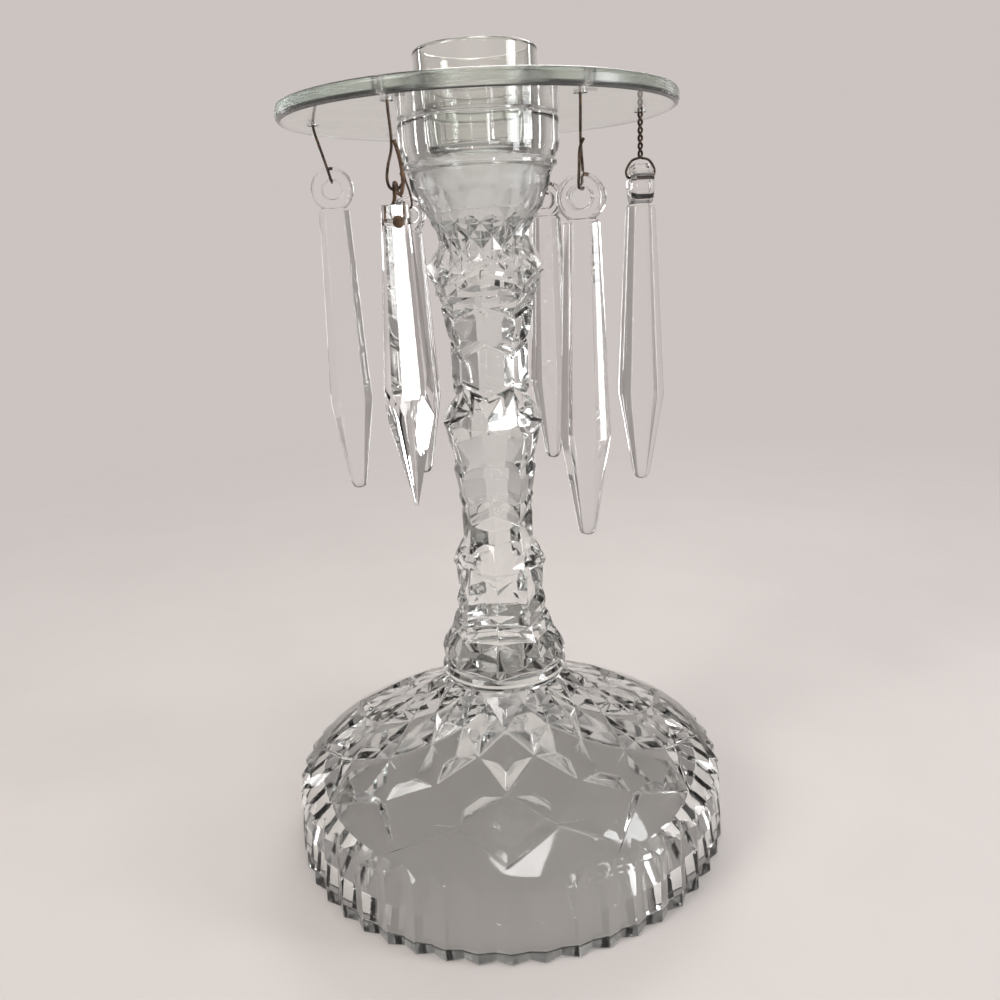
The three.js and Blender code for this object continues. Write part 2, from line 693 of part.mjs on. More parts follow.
function chamferedSection({ width, depth, chamfer }, height) {
  const points = [
    [width, -(depth - chamfer)], [width, depth - chamfer],
    [width - chamfer, depth], [-(width - chamfer), depth],
    [-width, depth - chamfer], [-width, -(depth - chamfer)],
    [-(width - chamfer), -depth], [width - chamfer, -depth],
  ];
  return points.map(([x, y]) => new THREE.Vector3(x, y, height));
}

// Ring-eyed prism, eye centre at the origin
function ringPrismSolid() {
  const bodyTop = -EYE_ABOVE_BODY;
  const top = PRISM_TOP_HALF;
  const edge = { width: top.width - 0.5, depth: top.depth - 0.5, chamfer: top.chamfer };
  const blunt = { width: 0.85, depth: 0.85, chamfer: 0.35 };
  const nose = { width: 1.65, depth: 1.65, chamfer: 0.7 };
  const tip = { width: 2.2, depth: 2.25, chamfer: 0.95 };
  const body = loft([
    chamferedSection(blunt, bodyTop - PRISM_LENGTH),
    chamferedSection(nose, bodyTop - PRISM_LENGTH + 0.5),
    chamferedSection(tip, bodyTop - PRISM_LENGTH + 1.7),
    chamferedSection(PRISM_SHOULDER_HALF, bodyTop - PRISM_SHOULDER_DROP),
    chamferedSection(top, bodyTop - 0.7),
    chamferedSection(edge, bodyTop),
  ]);
  return solidFrom(body).add(solidFrom(eyeRing()));
}

// Spear prism, pin hole centre at the origin, pin along Y
function spearSolid() {
  const section = (width, depth, facet, drop) => {
    const height = SPEAR_TOP_ABOVE_PIN - drop;
    const edge = Math.min(0.45, depth * 0.3);
    return [
      [width, -edge], [width, edge], [facet, depth], [-facet, depth],
      [-width, edge], [-width, -edge], [-facet, -depth], [facet, -depth],
    ].map(([x, y]) => new THREE.Vector3(x, y, height));
  };
  const body = loft([
    section(0.18, 0.14, 0.06, SPEAR_LENGTH),
    section(5.55, 3.5, 0.2, SPEAR_WIDEST_DROP + 3.6),
    section(5.85, 3.75, 2.2, SPEAR_WIDEST_DROP - 2.5),
    section(3.05, 2.5, 1.25, 0),
  ]);
  const hole = new THREE.CylinderGeometry(SPEAR_HOLE_RADIUS, SPEAR_HOLE_RADIUS, 20, 10);
  return solidFrom(body).subtract(solidFrom(hole));
}

// A round wire along a smooth curve through the given points
function wireGeometry(points, radius, steps) {
  const curve = new THREE.CatmullRomCurve3(points, false, 'centripetal');
  const outline = new THREE.Shape();
  for (let i = 0; i < WIRE_SIDES; i += 1) {
    const angle = i * 2 * Math.PI / WIRE_SIDES;
    const x = radius * Math.cos(angle);
    const y = radius * Math.sin(angle);
    if (i === 0) {
      outline.moveTo(x, y);
    } else {
      outline.lineTo(x, y);
    }
  }
  outline.closePath();
  return new THREE.ExtrudeGeometry(outline, { steps, bevelEnabled: false, extrudePath: curve });
}

function heightBelow(drop) {
  return DISH_UNDERSIDE - drop;
}

function holeAzimuth(hanging) {
  return hanging.hole + WIRE_HOLE_PHASE;
}

function hangingSpot(hanging, height) {
  return polar(WIRE_HOLE_CIRCLE, holeAzimuth(hanging), height);
}

// Centre of the eye: under the hole, or inwards of it where the wire is bent
function eyeSpot(hanging) {
  return polar(WIRE_HOLE_CIRCLE - hanging.inset, holeAzimuth(hanging), heightBelow(hanging.eyeDrop));
}

// Height of the wire where it crosses the eye: it bears on the top of the hole
function wireCrossing(eyeDrop) {
  return heightBelow(eyeDrop) + EYE_HOLE_RADIUS - WIRE_RADIUS - WIRE_EYE_GAP;
}

// Directions at one hanging place: along the rim, and along the eye hole
function hangingAxes(hanging) {
  return {
    rim: polar(1, holeAzimuth(hanging) + 90, 0),
    hole: polar(1, hanging.facing, 0),
  };
}

// Hairpin wire: lies on the dish, goes down its hole, through the eye and back up to the fork
function hairpinWire(hanging) {
  const { rim, hole } = hangingAxes(hanging);
  const crossing = wireCrossing(hanging.eyeDrop);
  const fork = heightBelow(hanging.forkDrop);
  const side = EYE_HALF_WIDTH + LOOP_SIDE_GAP;
  const restHeight = DISH_TOP + WIRE_RADIUS + WIRE_REST_GAP;
  const at = (alongRim, alongHole, height) => {
    const share = THREE.MathUtils.clamp((DISH_UNDERSIDE - height) / (DISH_UNDERSIDE - crossing), 0, 1);
    return polar(WIRE_HOLE_CIRCLE - hanging.inset * share, holeAzimuth(hanging), height)
      .addScaledVector(rim, alongRim)
      .addScaledVector(hole, alongHole);
  };
  const points = [
    at(WIRE_TOP_LEG, 0, restHeight),
    at(1.6, 0, restHeight),
    at(0.5, 0, restHeight - 0.2),
    at(0, 0, restHeight - 1.2),
    at(0, 0, DISH_UNDERSIDE - 1),
    at(0, 0, fork),
    at(0, -side * 0.75, crossing + 4.4),
    at(0, -side, crossing + 1.2),
    at(0, -side + 0.5, crossing + 0.15),
    at(0, -EYE_HALF_WIDTH + 0.6, crossing),
    at(0, EYE_HALF_WIDTH - 0.6, crossing),
    at(0, side - 0.5, crossing + 0.15),
    at(0, side, crossing + 1.2),
    at(0, side * 0.8, crossing + 3.6),
    at(0, 1.3, fork - 1.4),
    at(0.9, 0.5, fork + 0.6),
  ];
  return wireGeometry(points, WIRE_RADIUS, 38);
}

// Twisted wire: both strands go up through the dish and spread along its top
function twistedWire(hanging) {
  const { rim, hole } = hangingAxes(hanging);
  const crossing = wireCrossing(hanging.eyeDrop);
  const fork = heightBelow(hanging.forkDrop);
  const side = EYE_HALF_WIDTH + LOOP_SIDE_GAP;
  const restHeight = DISH_TOP + WIRE_RADIUS + WIRE_REST_GAP;
  const at = (alongRim, alongHole, height) => hangingSpot(hanging, height)
    .addScaledVector(rim, alongRim)
    .addScaledVector(hole, alongHole);
  const twistTop = DISH_TOP - 1.4;
  const turns = 3.5;
  const stations = 22;
  const strand = (share, flip) => {
    const angle = share * turns * 2 * Math.PI + (flip ? Math.PI : 0);
    const height = twistTop + (fork - twistTop) * share;
    return at(TWIST_RADIUS * Math.cos(angle), TWIST_RADIUS * Math.sin(angle), height);
  };
  const points = [at(WIRE_TOP_LEG, 0, restHeight), at(1.5, 0, restHeight), at(0.7, 0, restHeight - 0.5)];
  for (let i = 0; i <= stations; i += 1) {
    points.push(strand(i / stations, false));
  }
  points.push(
    at(0, -side * 0.6, crossing + 4.2),
    at(0, -side, crossing + 1.6),
    at(0, -side + 0.4, crossing + 0.15),
    at(0, -EYE_HALF_WIDTH + 0.6, crossing),
    at(0, EYE_HALF_WIDTH - 0.6, crossing),
    at(0, side - 0.4, crossing + 0.15),
    at(0, side, crossing + 1.6),
    at(0, side * 0.6, crossing + 4.2),
  );
  for (let i = stations; i >= 0; i -= 1) {
    points.push(strand(i / stations, true));
  }
  points.push(at(-0.7, 0, restHeight - 0.5), at(-1.5, 0, restHeight), at(-WIRE_TOP_LEG, 0, restHeight));
  return wireGeometry(points, WIRE_RADIUS * 0.94, 74);
}

// Hook for the spear prism: an open J below the dish
function hookWire(hanging) {
  const { rim } = hangingAxes(hanging);
  const sideways = polar(1, hanging.facing + 90, 0);
  const restHeight = DISH_TOP + WIRE_RADIUS + WIRE_REST_GAP;
  const at = (alongRim, across, height) => hangingSpot(hanging, height)
    .addScaledVector(rim, alongRim)
    .addScaledVector(sideways, across);
  const bottom = heightBelow(hanging.hookDrop);
  const points = [
    at(WIRE_TOP_LEG, 0, restHeight),
    at(1.6, 0, restHeight),
    at(0.5, 0, restHeight - 0.2),
    at(0, 0, restHeight - 1.2),
    at(0, 0, DISH_UNDERSIDE - 1),
    at(0, 0.2, bottom + 9),
    at(0, -0.9, bottom + 5),
    at(0, -1.3, bottom + 2.2),
    at(0, -0.8, bottom + 0.5),
    at(0, 0.3, bottom),
    at(0, 1.2, bottom + 0.3),
    at(0, 2.1, bottom + 1.3),
  ];
  return wireGeometry(points, WIRE_RADIUS, 34);
}

// Headed pin through the spear, bent up behind it and looped over the hook
function pinSolid(hanging) {
  const front = polar(1, hanging.facing, 0);
  const sideways = polar(1, hanging.facing + 90, 0);
  const at = (forward, across, height) => hangingSpot(hanging, height)
    .addScaledVector(front, forward)
    .addScaledVector(sideways, across);
  const shaft = heightBelow(hanging.pinDrop);
  const loop = heightBelow(hanging.hookDrop);
  const across = 0.3;
  const reach = WIRE_RADIUS + PIN_RADIUS + 0.3;
  const points = [
    at(3.6, 0, shaft),
    at(0, 0, shaft),
    at(-3.0, 0, shaft),
    at(-3.9, 0, shaft + 0.8),
    at(-3.8, 0, shaft + 3.2),
    at(-1.6, across, shaft + 5.2),
    at(-reach, across, loop - 0.5),
    at(-reach, across, loop + 0.6),
    at(-0.4, across, loop + reach + 0.3),
    at(0.4, across + 0.1, loop + reach + 0.3),
    at(reach, across + 0.2, loop + 0.6),
    at(reach + 0.1, across + 0.3, loop - 0.6),
    at(reach + 0.9, across + 0.9, loop - 1.0),
    at(reach + 1.2, across + 1.5, loop + 1.2),
    at(reach + 1.0, across + 1.2, loop + 6.4),
    at(reach + 1.1, across + 0.2, loop + 10.2),
  ];
  const shank = solidFrom(wireGeometry(points, PIN_RADIUS, 38));
  const head = new THREE.SphereGeometry(PIN_HEAD_RADIUS, 12, 8);
  head.scale(1, 0.55, 1);
  head.rotateZ(THREE.MathUtils.degToRad(hanging.facing));
  const spot = at(3.65, 0, shaft);
  head.translate(spot.x, spot.y, spot.z);
  return shank.add(solidFrom(head));
}

function placed(solid, azimuth, spot) {
  const geometry = geometryFrom(solid);
  geometry.rotateZ(THREE.MathUtils.degToRad(azimuth));
  geometry.translate(spot.x, spot.y, spot.z);
  return geometry;
}

function flatGeometry(geometry) {
  const loose = geometry.index ? geometry.toNonIndexed() : geometry;
  loose.computeVertexNormals();
  return loose;
}

function glassMaterial(colour) {
  return new THREE.MeshStandardMaterial({ color: colour, roughness: GLASS_ROUGHNESS, metalness: 0 });
}

function metalMaterial(colour) {
  return new THREE.MeshStandardMaterial({ color: colour, roughness: WIRE_ROUGHNESS, metalness: 1 });
}

const group = new THREE.Group();

function addPiece(name, geometry, material) {
  const mesh = new THREE.Mesh(flatGeometry(geometry), material);
  mesh.name = name;
  group.add(mesh);
}

addPiece('candlestick', geometryFrom(candlestickSolid()), glassMaterial(STICK_COLOUR));
addPiece('drip_dish', geometryFrom(dishSolid()), glassMaterial(DISH_COLOUR));

for (const hanging of HANGINGS) {
  const prism = placed(ringPrismSolid(), hanging.facing, eyeSpot(hanging));
  addPiece(`prism_${hanging.name}`, prism, glassMaterial(PRISM_COLOUR));
  const wire = hanging.twisted ? twistedWire(hanging) : hairpinWire(hanging);
  addPiece(`wire_${hanging.name}`, wire, metalMaterial(WIRE_COLOUR));
}

const spearSpot = hangingSpot(SPEAR_HANGING, heightBelow(SPEAR_HANGING.pinDrop));
const spear = placed(spearSolid(), SPEAR_HANGING.facing, spearSpot);
addPiece('spear_front_left', spear, glassMaterial(PRISM_COLOUR));
addPiece('wire_front_left', hookWire(SPEAR_HANGING), metalMaterial(WIRE_COLOUR));
addPiece('pin_front_left', geometryFrom(pinSolid(SPEAR_HANGING)), metalMaterial(PIN_COLOUR));

export default group;
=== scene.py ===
# %% [markdown]
# # A pressed-glass candlestick with hanging prisms
#
# The stick is one piece of clear pressed glass: a domed foot with a toothed rim and a
# lattice of diamonds, a faceted stem, a pointed capital and a cup for the candle. A flat
# drip dish lies loose on the cup. Six cut-glass drops hang from it on bent wires.
#
# This lesson dresses the bare solids as glass and metal and sets them before a camera.

# %% Load the solids
import math

import bmesh
import bpy
from mathutils import Matrix, Vector


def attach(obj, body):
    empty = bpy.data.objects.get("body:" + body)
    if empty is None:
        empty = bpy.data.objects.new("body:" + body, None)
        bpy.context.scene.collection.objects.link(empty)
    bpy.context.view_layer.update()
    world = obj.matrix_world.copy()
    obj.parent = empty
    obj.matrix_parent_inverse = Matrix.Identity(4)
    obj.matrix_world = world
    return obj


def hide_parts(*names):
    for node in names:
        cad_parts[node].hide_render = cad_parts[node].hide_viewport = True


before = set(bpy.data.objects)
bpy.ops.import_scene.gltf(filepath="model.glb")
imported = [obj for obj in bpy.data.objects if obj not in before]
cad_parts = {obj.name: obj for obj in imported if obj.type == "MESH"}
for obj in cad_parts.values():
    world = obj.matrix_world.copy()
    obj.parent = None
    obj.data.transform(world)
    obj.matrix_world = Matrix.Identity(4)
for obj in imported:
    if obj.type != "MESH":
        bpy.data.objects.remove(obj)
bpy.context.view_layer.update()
scene = bpy.context.scene

# %% [markdown]
# ## The camera
#
# The picture was taken from a little above the dish, close to the stick, with the
# camera tipped down and turned slightly on its side. Its place was worked out from the
# round outlines of the foot and the dish, so the same edges fall on the same spots.

# %% Which way the camera looks
LOOKING_DOWN = 0.28133
TURNED_SIDEWAYS = 0.00408
ROLLED = -0.04828


def camera_directions(down, sideways, roll):
    """The camera's forward, right and up directions."""
    forward = Vector((
        math.sin(sideways) * math.cos(down),
        math.cos(sideways) * math.cos(down),
        -math.sin(down),
    ))
    level = Vector((math.cos(sideways), -math.sin(sideways), 0))
    upright = level.cross(forward)
    right = math.cos(roll) * level + math.sin(roll) * upright
    up = math.cos(roll) * upright - math.sin(roll) * level
    return forward, right, up


forward, right, up = camera_directions(LOOKING_DOWN, TURNED_SIDEWAYS, ROLLED)
print("the camera looks along", forward)

# %% Set up the camera
CAMERA_DISTANCE = 0.249
CAMERA_HEIGHT = 0.17526
FOCAL_SHARE = 0.8967
SENSOR_WIDTH = 36.0
NEAREST_SEEN = 0.01
camera = bpy.data.objects.new("camera", bpy.data.cameras.new("camera"))
scene.collection.objects.link(camera)
scene.camera = camera
camera.data.sensor_width = SENSOR_WIDTH
camera.data.lens = FOCAL_SHARE * SENSOR_WIDTH
camera.data.clip_start = NEAREST_SEEN
camera.matrix_world = Matrix((
    (right.x, up.x, -forward.x, 0),
    (right.y, up.y, -forward.y, -CAMERA_DISTANCE),
    (right.z, up.z, -forward.z, CAMERA_HEIGHT),
    (0, 0, 0, 1),
))
print("camera lens in millimetres:", round(camera.data.lens, 2))

# %% [markdown]
# ## Helpers for the finishes
#
# Every finish is made of a few building blocks: a cloudy pattern at a size given in
# millimetres, a spread of that pattern between two values, small waves in the surface,
# and a mix of two shaders. They are kept here so that each finish below stays short.

# %% A new material and its cloudy patterns
MM = 0.001
PATTERN_FROM = 0.35
PATTERN_TO = 0.65


def new_material(name):
    """An empty material with its node tree and its output."""
    material = bpy.data.materials.new(name)
    material.use_nodes = True
    tree = material.node_tree
    tree.nodes.clear()
    output = tree.nodes.new("ShaderNodeOutputMaterial")
    return material, tree, output


def clouds(tree, size_mm, detail=2.0):
    """A cloudy pattern whose patches are about size_mm across."""
    place = tree.nodes.new("ShaderNodeTexCoord")
    noise = tree.nodes.new("ShaderNodeTexNoise")
    noise.inputs["Scale"].default_value = 1 / (size_mm * MM)
    noise.inputs["Detail"].default_value = detail
    tree.links.new(place.outputs["Object"], noise.inputs["Vector"])
    return noise.outputs["Fac"]


def spread(tree, pattern, low, high, start=PATTERN_FROM, end=PATTERN_TO):
    """The part of the pattern from start to end, spread between two values."""
    node = tree.nodes.new("ShaderNodeMapRange")
    node.inputs["From Min"].default_value = start
    node.inputs["From Max"].default_value = end
    node.inputs["To Min"].default_value = low
    node.inputs["To Max"].default_value = high
    tree.links.new(pattern, node.inputs["Value"])
    return node.outputs["Result"]


def two_colours(tree, pattern, first, second):
    """A colour that runs from first to second with the pattern."""
    ramp = tree.nodes.new("ShaderNodeValToRGB")
    ramp.color_ramp.elements[0].position = PATTERN_FROM
    ramp.color_ramp.elements[0].color = (*first, 1)
    ramp.color_ramp.elements[1].position = PATTERN_TO
    ramp.color_ramp.elements[1].color = (*second, 1)
    tree.links.new(pattern, ramp.inputs["Fac"])
    return ramp.outputs["Color"]


# %% Small waves, sums and mixes
def waves(tree, pattern, height_mm, under=None):
    """Small waves in the surface, laid over the waves under them."""
    bump = tree.nodes.new("ShaderNodeBump")
    bump.inputs["Distance"].default_value = height_mm * MM
    tree.links.new(pattern, bump.inputs["Height"])
    if under is not None:
        tree.links.new(under, bump.inputs["Normal"])
    return bump.outputs["Normal"]


def combined(tree, operation, first, second):
    """Two values joined by a piece of arithmetic."""
    node = tree.nodes.new("ShaderNodeMath")
    node.operation = operation
    tree.links.new(first, node.inputs[0])
    tree.links.new(second, node.inputs[1])
    return node.outputs["Value"]


def mixed(tree, share, first, second):
    """The first shader where the share is 0, and the second where it is 1."""
    mix = tree.nodes.new("ShaderNodeMixShader")
    tree.links.new(share, mix.inputs["Fac"])
    tree.links.new(first, mix.inputs[1])
    tree.links.new(second, mix.inputs[2])
    return mix.outputs["Shader"]


print("helpers are ready; a millimetre is", MM, "of the scene's metres")

# %% [markdown]
# ## Glass
#
# Pressed glass keeps faint waves from the mould and the polishing flame, while the cut
# drops have flatter and cleaner faces. Glass shows its own colour, a breath of green,
# only where it is thick. One tint on its surface would colour thin and thick places
# alike, so most of the colour is soaked up along the way through it instead. Lamp light
# is let through to the table, because real glass throws only a thin shadow.
#
# Two places are duller than the rest. The outer edge of the dish was ground after it was
# cut round, which gives it its soft grey line. The wall of the candle socket keeps the
# marks of the iron plunger that pressed it, and so the cup looks milky low down. Both are
# found by radius and height in the glass's own measures, and only their roughness grows.


# %% How far out and how high a spot lies
def radius_and_height(tree):
    """How far a spot of the glass lies from the stick's axis, and how high."""
    place = tree.nodes.new("ShaderNodeTexCoord")
    flat = tree.nodes.new("ShaderNodeVectorMath")
    flat.operation = "MULTIPLY"
    flat.inputs[1].default_value = (1, 1, 0)
    tree.links.new(place.outputs["Object"], flat.inputs[0])
    radius = tree.nodes.new("ShaderNodeVectorMath")
    radius.operation = "LENGTH"
    tree.links.new(flat.outputs["Vector"], radius.inputs[0])
    parts = tree.nodes.new("ShaderNodeSeparateXYZ")
    tree.links.new(place.outputs["Object"], parts.inputs["Vector"])
    return radius.outputs["Value"], parts.outputs["Z"]


# %% The ground edge of the dish, in millimetres
GROUND_FROM = 49.9
GROUND_BLEND = 0.5
GROUND_DULLNESS = 0.26


def ground_edge(tree, polish):
    """The polish of the dish, and the dull ground finish of its outer edge."""
    radius, _ = radius_and_height(tree)
    ground_to = (GROUND_FROM + GROUND_BLEND) * MM
    ground = spread(tree, radius, 0, GROUND_DULLNESS, GROUND_FROM * MM, ground_to)
    return combined(tree, "MAXIMUM", polish, ground)


print("the dish is ground beyond the radius", GROUND_FROM)

# %% The plunger's marks in the socket, in millimetres
SOCKET_RADIUS = 14.2
SOCKET_WALL_BLEND = 0.3
SOCKET_LOW = 184.6
SOCKET_LOW_BLEND = 1
SOCKET_HIGH = 194.0
SOCKET_HIGH_BLEND = 3
PLUNGER_DULLNESS = 0.35


def plunger_marks(tree, polish):
    """The polish of the stick, and the dull wall that the plunger left in the socket."""
    radius, height = radius_and_height(tree)
    wall_to = (SOCKET_RADIUS + SOCKET_WALL_BLEND) * MM
    inside = spread(tree, radius, PLUNGER_DULLNESS, 0, SOCKET_RADIUS * MM, wall_to)
    above = spread(tree, height, 0, 1, (SOCKET_LOW - SOCKET_LOW_BLEND) * MM, SOCKET_LOW * MM)
    below = spread(tree, height, 1, 0, SOCKET_HIGH * MM, (SOCKET_HIGH + SOCKET_HIGH_BLEND) * MM)
    within = combined(tree, "MULTIPLY", above, below)
    return combined(tree, "MAXIMUM", polish, combined(tree, "MULTIPLY", inside, within))


print("the wall of the socket is dull from", SOCKET_LOW, "to", SOCKET_HIGH)

# %% Build a glass
GLASS_BENDING = 1.52
PATCHES_OF_TINT = 14
PATCHES_OF_POLISH = 5


def glass(name, tint, soaked, strength, polish, slow_wave, fine_wave, let_through, dulled=None):
    """A clear glass. Light keeps the colour soaked on its way through, more so the greater
    the strength. A wave is its size and height in millimetres. let_through is the share of
    lamp light that reaches the table; dulled adds the places that aren't polished."""
    material, tree, output = new_material(name)
    body = tree.nodes.new("ShaderNodeBsdfPrincipled")
    body.inputs["Transmission Weight"].default_value = 1.0
    body.inputs["IOR"].default_value = GLASS_BENDING
    colour = two_colours(tree, clouds(tree, PATCHES_OF_TINT), *tint)
    tree.links.new(colour, body.inputs["Base Color"])
    dullness = spread(tree, clouds(tree, PATCHES_OF_POLISH, detail=4), *polish)
    if dulled is not None:
        dullness = dulled(tree, dullness)
    tree.links.new(dullness, body.inputs["Roughness"])
    slow = waves(tree, clouds(tree, slow_wave[0]), slow_wave[1])
    fine = waves(tree, clouds(tree, fine_wave[0]), fine_wave[1], slow)
    tree.links.new(fine, body.inputs["Normal"])
    clear = tree.nodes.new("ShaderNodeBsdfTransparent")
    clear.inputs["Color"].default_value = (let_through, let_through, let_through, 1)
    path = tree.nodes.new("ShaderNodeLightPath")
    shadowed = path.outputs["Is Shadow Ray"]
    surface = mixed(tree, shadowed, body.outputs["BSDF"], clear.outputs["BSDF"])
    tree.links.new(surface, output.inputs["Surface"])
    inside = tree.nodes.new("ShaderNodeVolumeAbsorption")
    inside.inputs["Color"].default_value = (*soaked, 1)
    inside.inputs["Density"].default_value = strength
    tree.links.new(inside.outputs["Volume"], output.inputs["Volume"])
    return material


# %% Make the three glass finishes
PRESSED_TINT = ((0.965, 0.975, 0.965), (0.985, 0.99, 0.985))
DISH_TINT = ((0.935, 0.945, 0.92), (0.965, 0.97, 0.95))
DROP_TINT = ((0.985, 0.98, 0.975), (0.995, 0.992, 0.99))
pressed_glass = glass(
    "clear_pressed_glass", PRESSED_TINT, soaked=(0.80, 0.90, 0.83), strength=3.0,
    polish=(0.02, 0.08), slow_wave=(11, 0.04), fine_wave=(2.4, 0.004),
    let_through=0.13, dulled=plunger_marks,
)
dish_glass = glass(
    "greenish_dish_glass", DISH_TINT, soaked=(0.74, 0.86, 0.74), strength=9.0,
    polish=(0.0, 0.04), slow_wave=(16, 0.012), fine_wave=(2.6, 0.003),
    let_through=0.75, dulled=ground_edge,
)
drop_glass = glass(
    "cut_drop_glass", DROP_TINT, soaked=(0.95, 0.93, 0.90), strength=3.0,
    polish=(0.0, 0.02), slow_wave=(16, 0.02), fine_wave=(3.0, 0.004),
    let_through=0.75,
)
print("glass finishes:", pressed_glass.name, dish_glass.name, drop_glass.name)

# %% [markdown]
# ## Softened edges
#
# The mould and the polishing flame leave no knife edge on pressed glass, and even a cut
# drop has a hairline of rounding. The solids could be built with round edges, but then
# every facet would need many more faces, so the round is cut here, after they are loaded.
# The gentle steps of the turned parts are shaded as one curve.
#
# On the stick the round is widest on the flutes and the big facets of the dome. It is
# narrow on the small points of the capital, and nearly nothing where the flutes run out
# under the dome, since two edges almost touch there. So the share of the rounding is
# stored on every edge by its height before the round is cut.

# %% Shade the gentle steps as one curve
SMOOTH_UP_TO_DEGREES = 33


def shading_group():
    """A node group that shades the mesh smooth except across sharp edges."""
    group = bpy.data.node_groups.new("smooth_shading", "GeometryNodeTree")
    group.interface.new_socket("Geometry", in_out="INPUT", socket_type="NodeSocketGeometry")
    group.interface.new_socket("Geometry", in_out="OUTPUT", socket_type="NodeSocketGeometry")
    start = group.nodes.new("NodeGroupInput")
    end = group.nodes.new("NodeGroupOutput")
    faces = group.nodes.new("GeometryNodeSetShadeSmooth")
    faces.domain = "FACE"
    edges = group.nodes.new("GeometryNodeSetShadeSmooth")
    edges.domain = "EDGE"
    angle = group.nodes.new("GeometryNodeInputMeshEdgeAngle")
    gentle = group.nodes.new("FunctionNodeCompare")
    gentle.operation = "LESS_THAN"
    gentle.inputs["B"].default_value = math.radians(SMOOTH_UP_TO_DEGREES)
    group.links.new(angle.outputs["Unsigned Angle"], gentle.inputs["A"])
    group.links.new(gentle.outputs["Result"], edges.inputs["Shade Smooth"])
    group.links.new(start.outputs[0], faces.inputs["Geometry"])
    group.links.new(faces.outputs["Geometry"], edges.inputs["Geometry"])
    group.links.new(edges.outputs["Geometry"], end.inputs[0])
    return group


smooth_shading = shading_group()
print("steps of up to", SMOOTH_UP_TO_DEGREES, "degrees are shaded as one curve")

# %% Store the rounding of every edge by its height
ROUND_FROM_DEGREES = 12


def rounding_group(widths):
    """A node group that stores on each sharp edge the share of rounding for its height.
    The widths are (height, share) pairs from below."""
    group = bpy.data.node_groups.new("rounding_by_height", "GeometryNodeTree")
    group.interface.new_socket("Geometry", in_out="INPUT", socket_type="NodeSocketGeometry")
    group.interface.new_socket("Geometry", in_out="OUTPUT", socket_type="NodeSocketGeometry")
    start = group.nodes.new("NodeGroupInput")
    end = group.nodes.new("NodeGroupOutput")
    place = group.nodes.new("GeometryNodeInputPosition")
    parts = group.nodes.new("ShaderNodeSeparateXYZ")
    group.links.new(place.outputs["Position"], parts.inputs["Vector"])
    height = group.nodes.new("ShaderNodeMapRange")
    height.inputs["From Max"].default_value = widths[-1][0] * MM
    group.links.new(parts.outputs["Z"], height.inputs["Value"])
    shares = group.nodes.new("ShaderNodeValToRGB")
    ramp = shares.color_ramp
    for count, (level, share) in enumerate(widths):
        where = level / widths[-1][0]
        stop = ramp.elements[count] if count < 2 else ramp.elements.new(where)
        stop.position = where
        stop.color = (share, share, share, 1)
    group.links.new(height.outputs["Result"], shares.inputs["Fac"])
    angle = group.nodes.new("GeometryNodeInputMeshEdgeAngle")
    sharp = group.nodes.new("FunctionNodeCompare")
    sharp.operation = "GREATER_THAN"
    sharp.inputs["B"].default_value = math.radians(ROUND_FROM_DEGREES)
    group.links.new(angle.outputs["Unsigned Angle"], sharp.inputs["A"])
    store = group.nodes.new("GeometryNodeStoreNamedAttribute")
    store.data_type = "FLOAT"
    store.domain = "EDGE"
    store.inputs["Name"].default_value = "bevel_weight_edge"
    group.links.new(sharp.outputs["Result"], store.inputs["Selection"])
    group.links.new(shares.outputs["Color"], store.inputs["Value"])
    group.links.new(start.outputs[0], store.inputs["Geometry"])
    group.links.new(store.outputs["Geometry"], end.inputs[0])
    return group


# %% How much of the round each height gets
# Shares of the stick's rounding: the flutes, the narrow shoulder over them, the dome, the
# ring, the stem, the capital and the cup, each from one height in millimetres to the next.
STICK_ROUNDING = [
    (0, 1.0), (18.0, 1.0),
    (19.6, 0.25), (21.2, 0.2), (22.2, 0.04), (23.6, 0.04), (24.2, 0.22),
    (25.4, 0.75), (29.0, 0.75), (31.5, 1.0), (43, 0.8),
    (46.5, 0.2), (57, 0.2),
    (61, 0.7), (148, 0.7),
    (155, 0.2), (174, 0.2),
    (178, 0.5), (190, 0.5), (194, 0.3), (222, 0.3),
]
stick_rounding = rounding_group(STICK_ROUNDING)
print("the stick's rounding is set at", len(STICK_ROUNDING), "heights")

# %% Soften a solid
JOIN_WITHIN_MM = 0.01
FLAT_WITHIN_DEGREES = 0.5
ROUND_SEGMENTS = 2


def soften(name, width_mm, weights=None):
    """Rounds the sharper edges of a solid and shades the rest as a curve."""
    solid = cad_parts[name]
    join = solid.modifiers.new("join_triangles", "WELD")
    join.merge_threshold = JOIN_WITHIN_MM * MM
    merge = solid.modifiers.new("merge_flat", "DECIMATE")
    merge.decimate_type = "DISSOLVE"
    merge.angle_limit = math.radians(FLAT_WITHIN_DEGREES)
    if weights is not None:
        weigh_edges = solid.modifiers.new("weigh_edges", "NODES")
        weigh_edges.node_group = weights
    edge = solid.modifiers.new("round_edges", "BEVEL")
    edge.width = width_mm * MM
    edge.segments = ROUND_SEGMENTS
    edge.limit_method = "ANGLE" if weights is None else "WEIGHT"
    edge.angle_limit = math.radians(ROUND_FROM_DEGREES)
    edge.use_clamp_overlap = False
    shade = solid.modifiers.new("smooth_shading", "NODES")
    shade.node_group = smooth_shading
    weigh = solid.modifiers.new("keep_faces_flat", "WEIGHTED_NORMAL")
    weigh.keep_sharp = True


# %% Soften and dress the glass solids
STICK_ROUND = 0.5
DISH_ROUND = 0.2
PRISM_ROUND = 0.26
SPEAR_ROUND = 0.07
RING_PRISMS = [
    "prism_left", "prism_front_right", "prism_right", "prism_back_right", "prism_back_left",
]


def dress(names, material):
    """Gives these solids the material in place of their plain one."""
    for name in names:
        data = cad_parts[name].data
        data.materials.clear()
        data.materials.append(material)


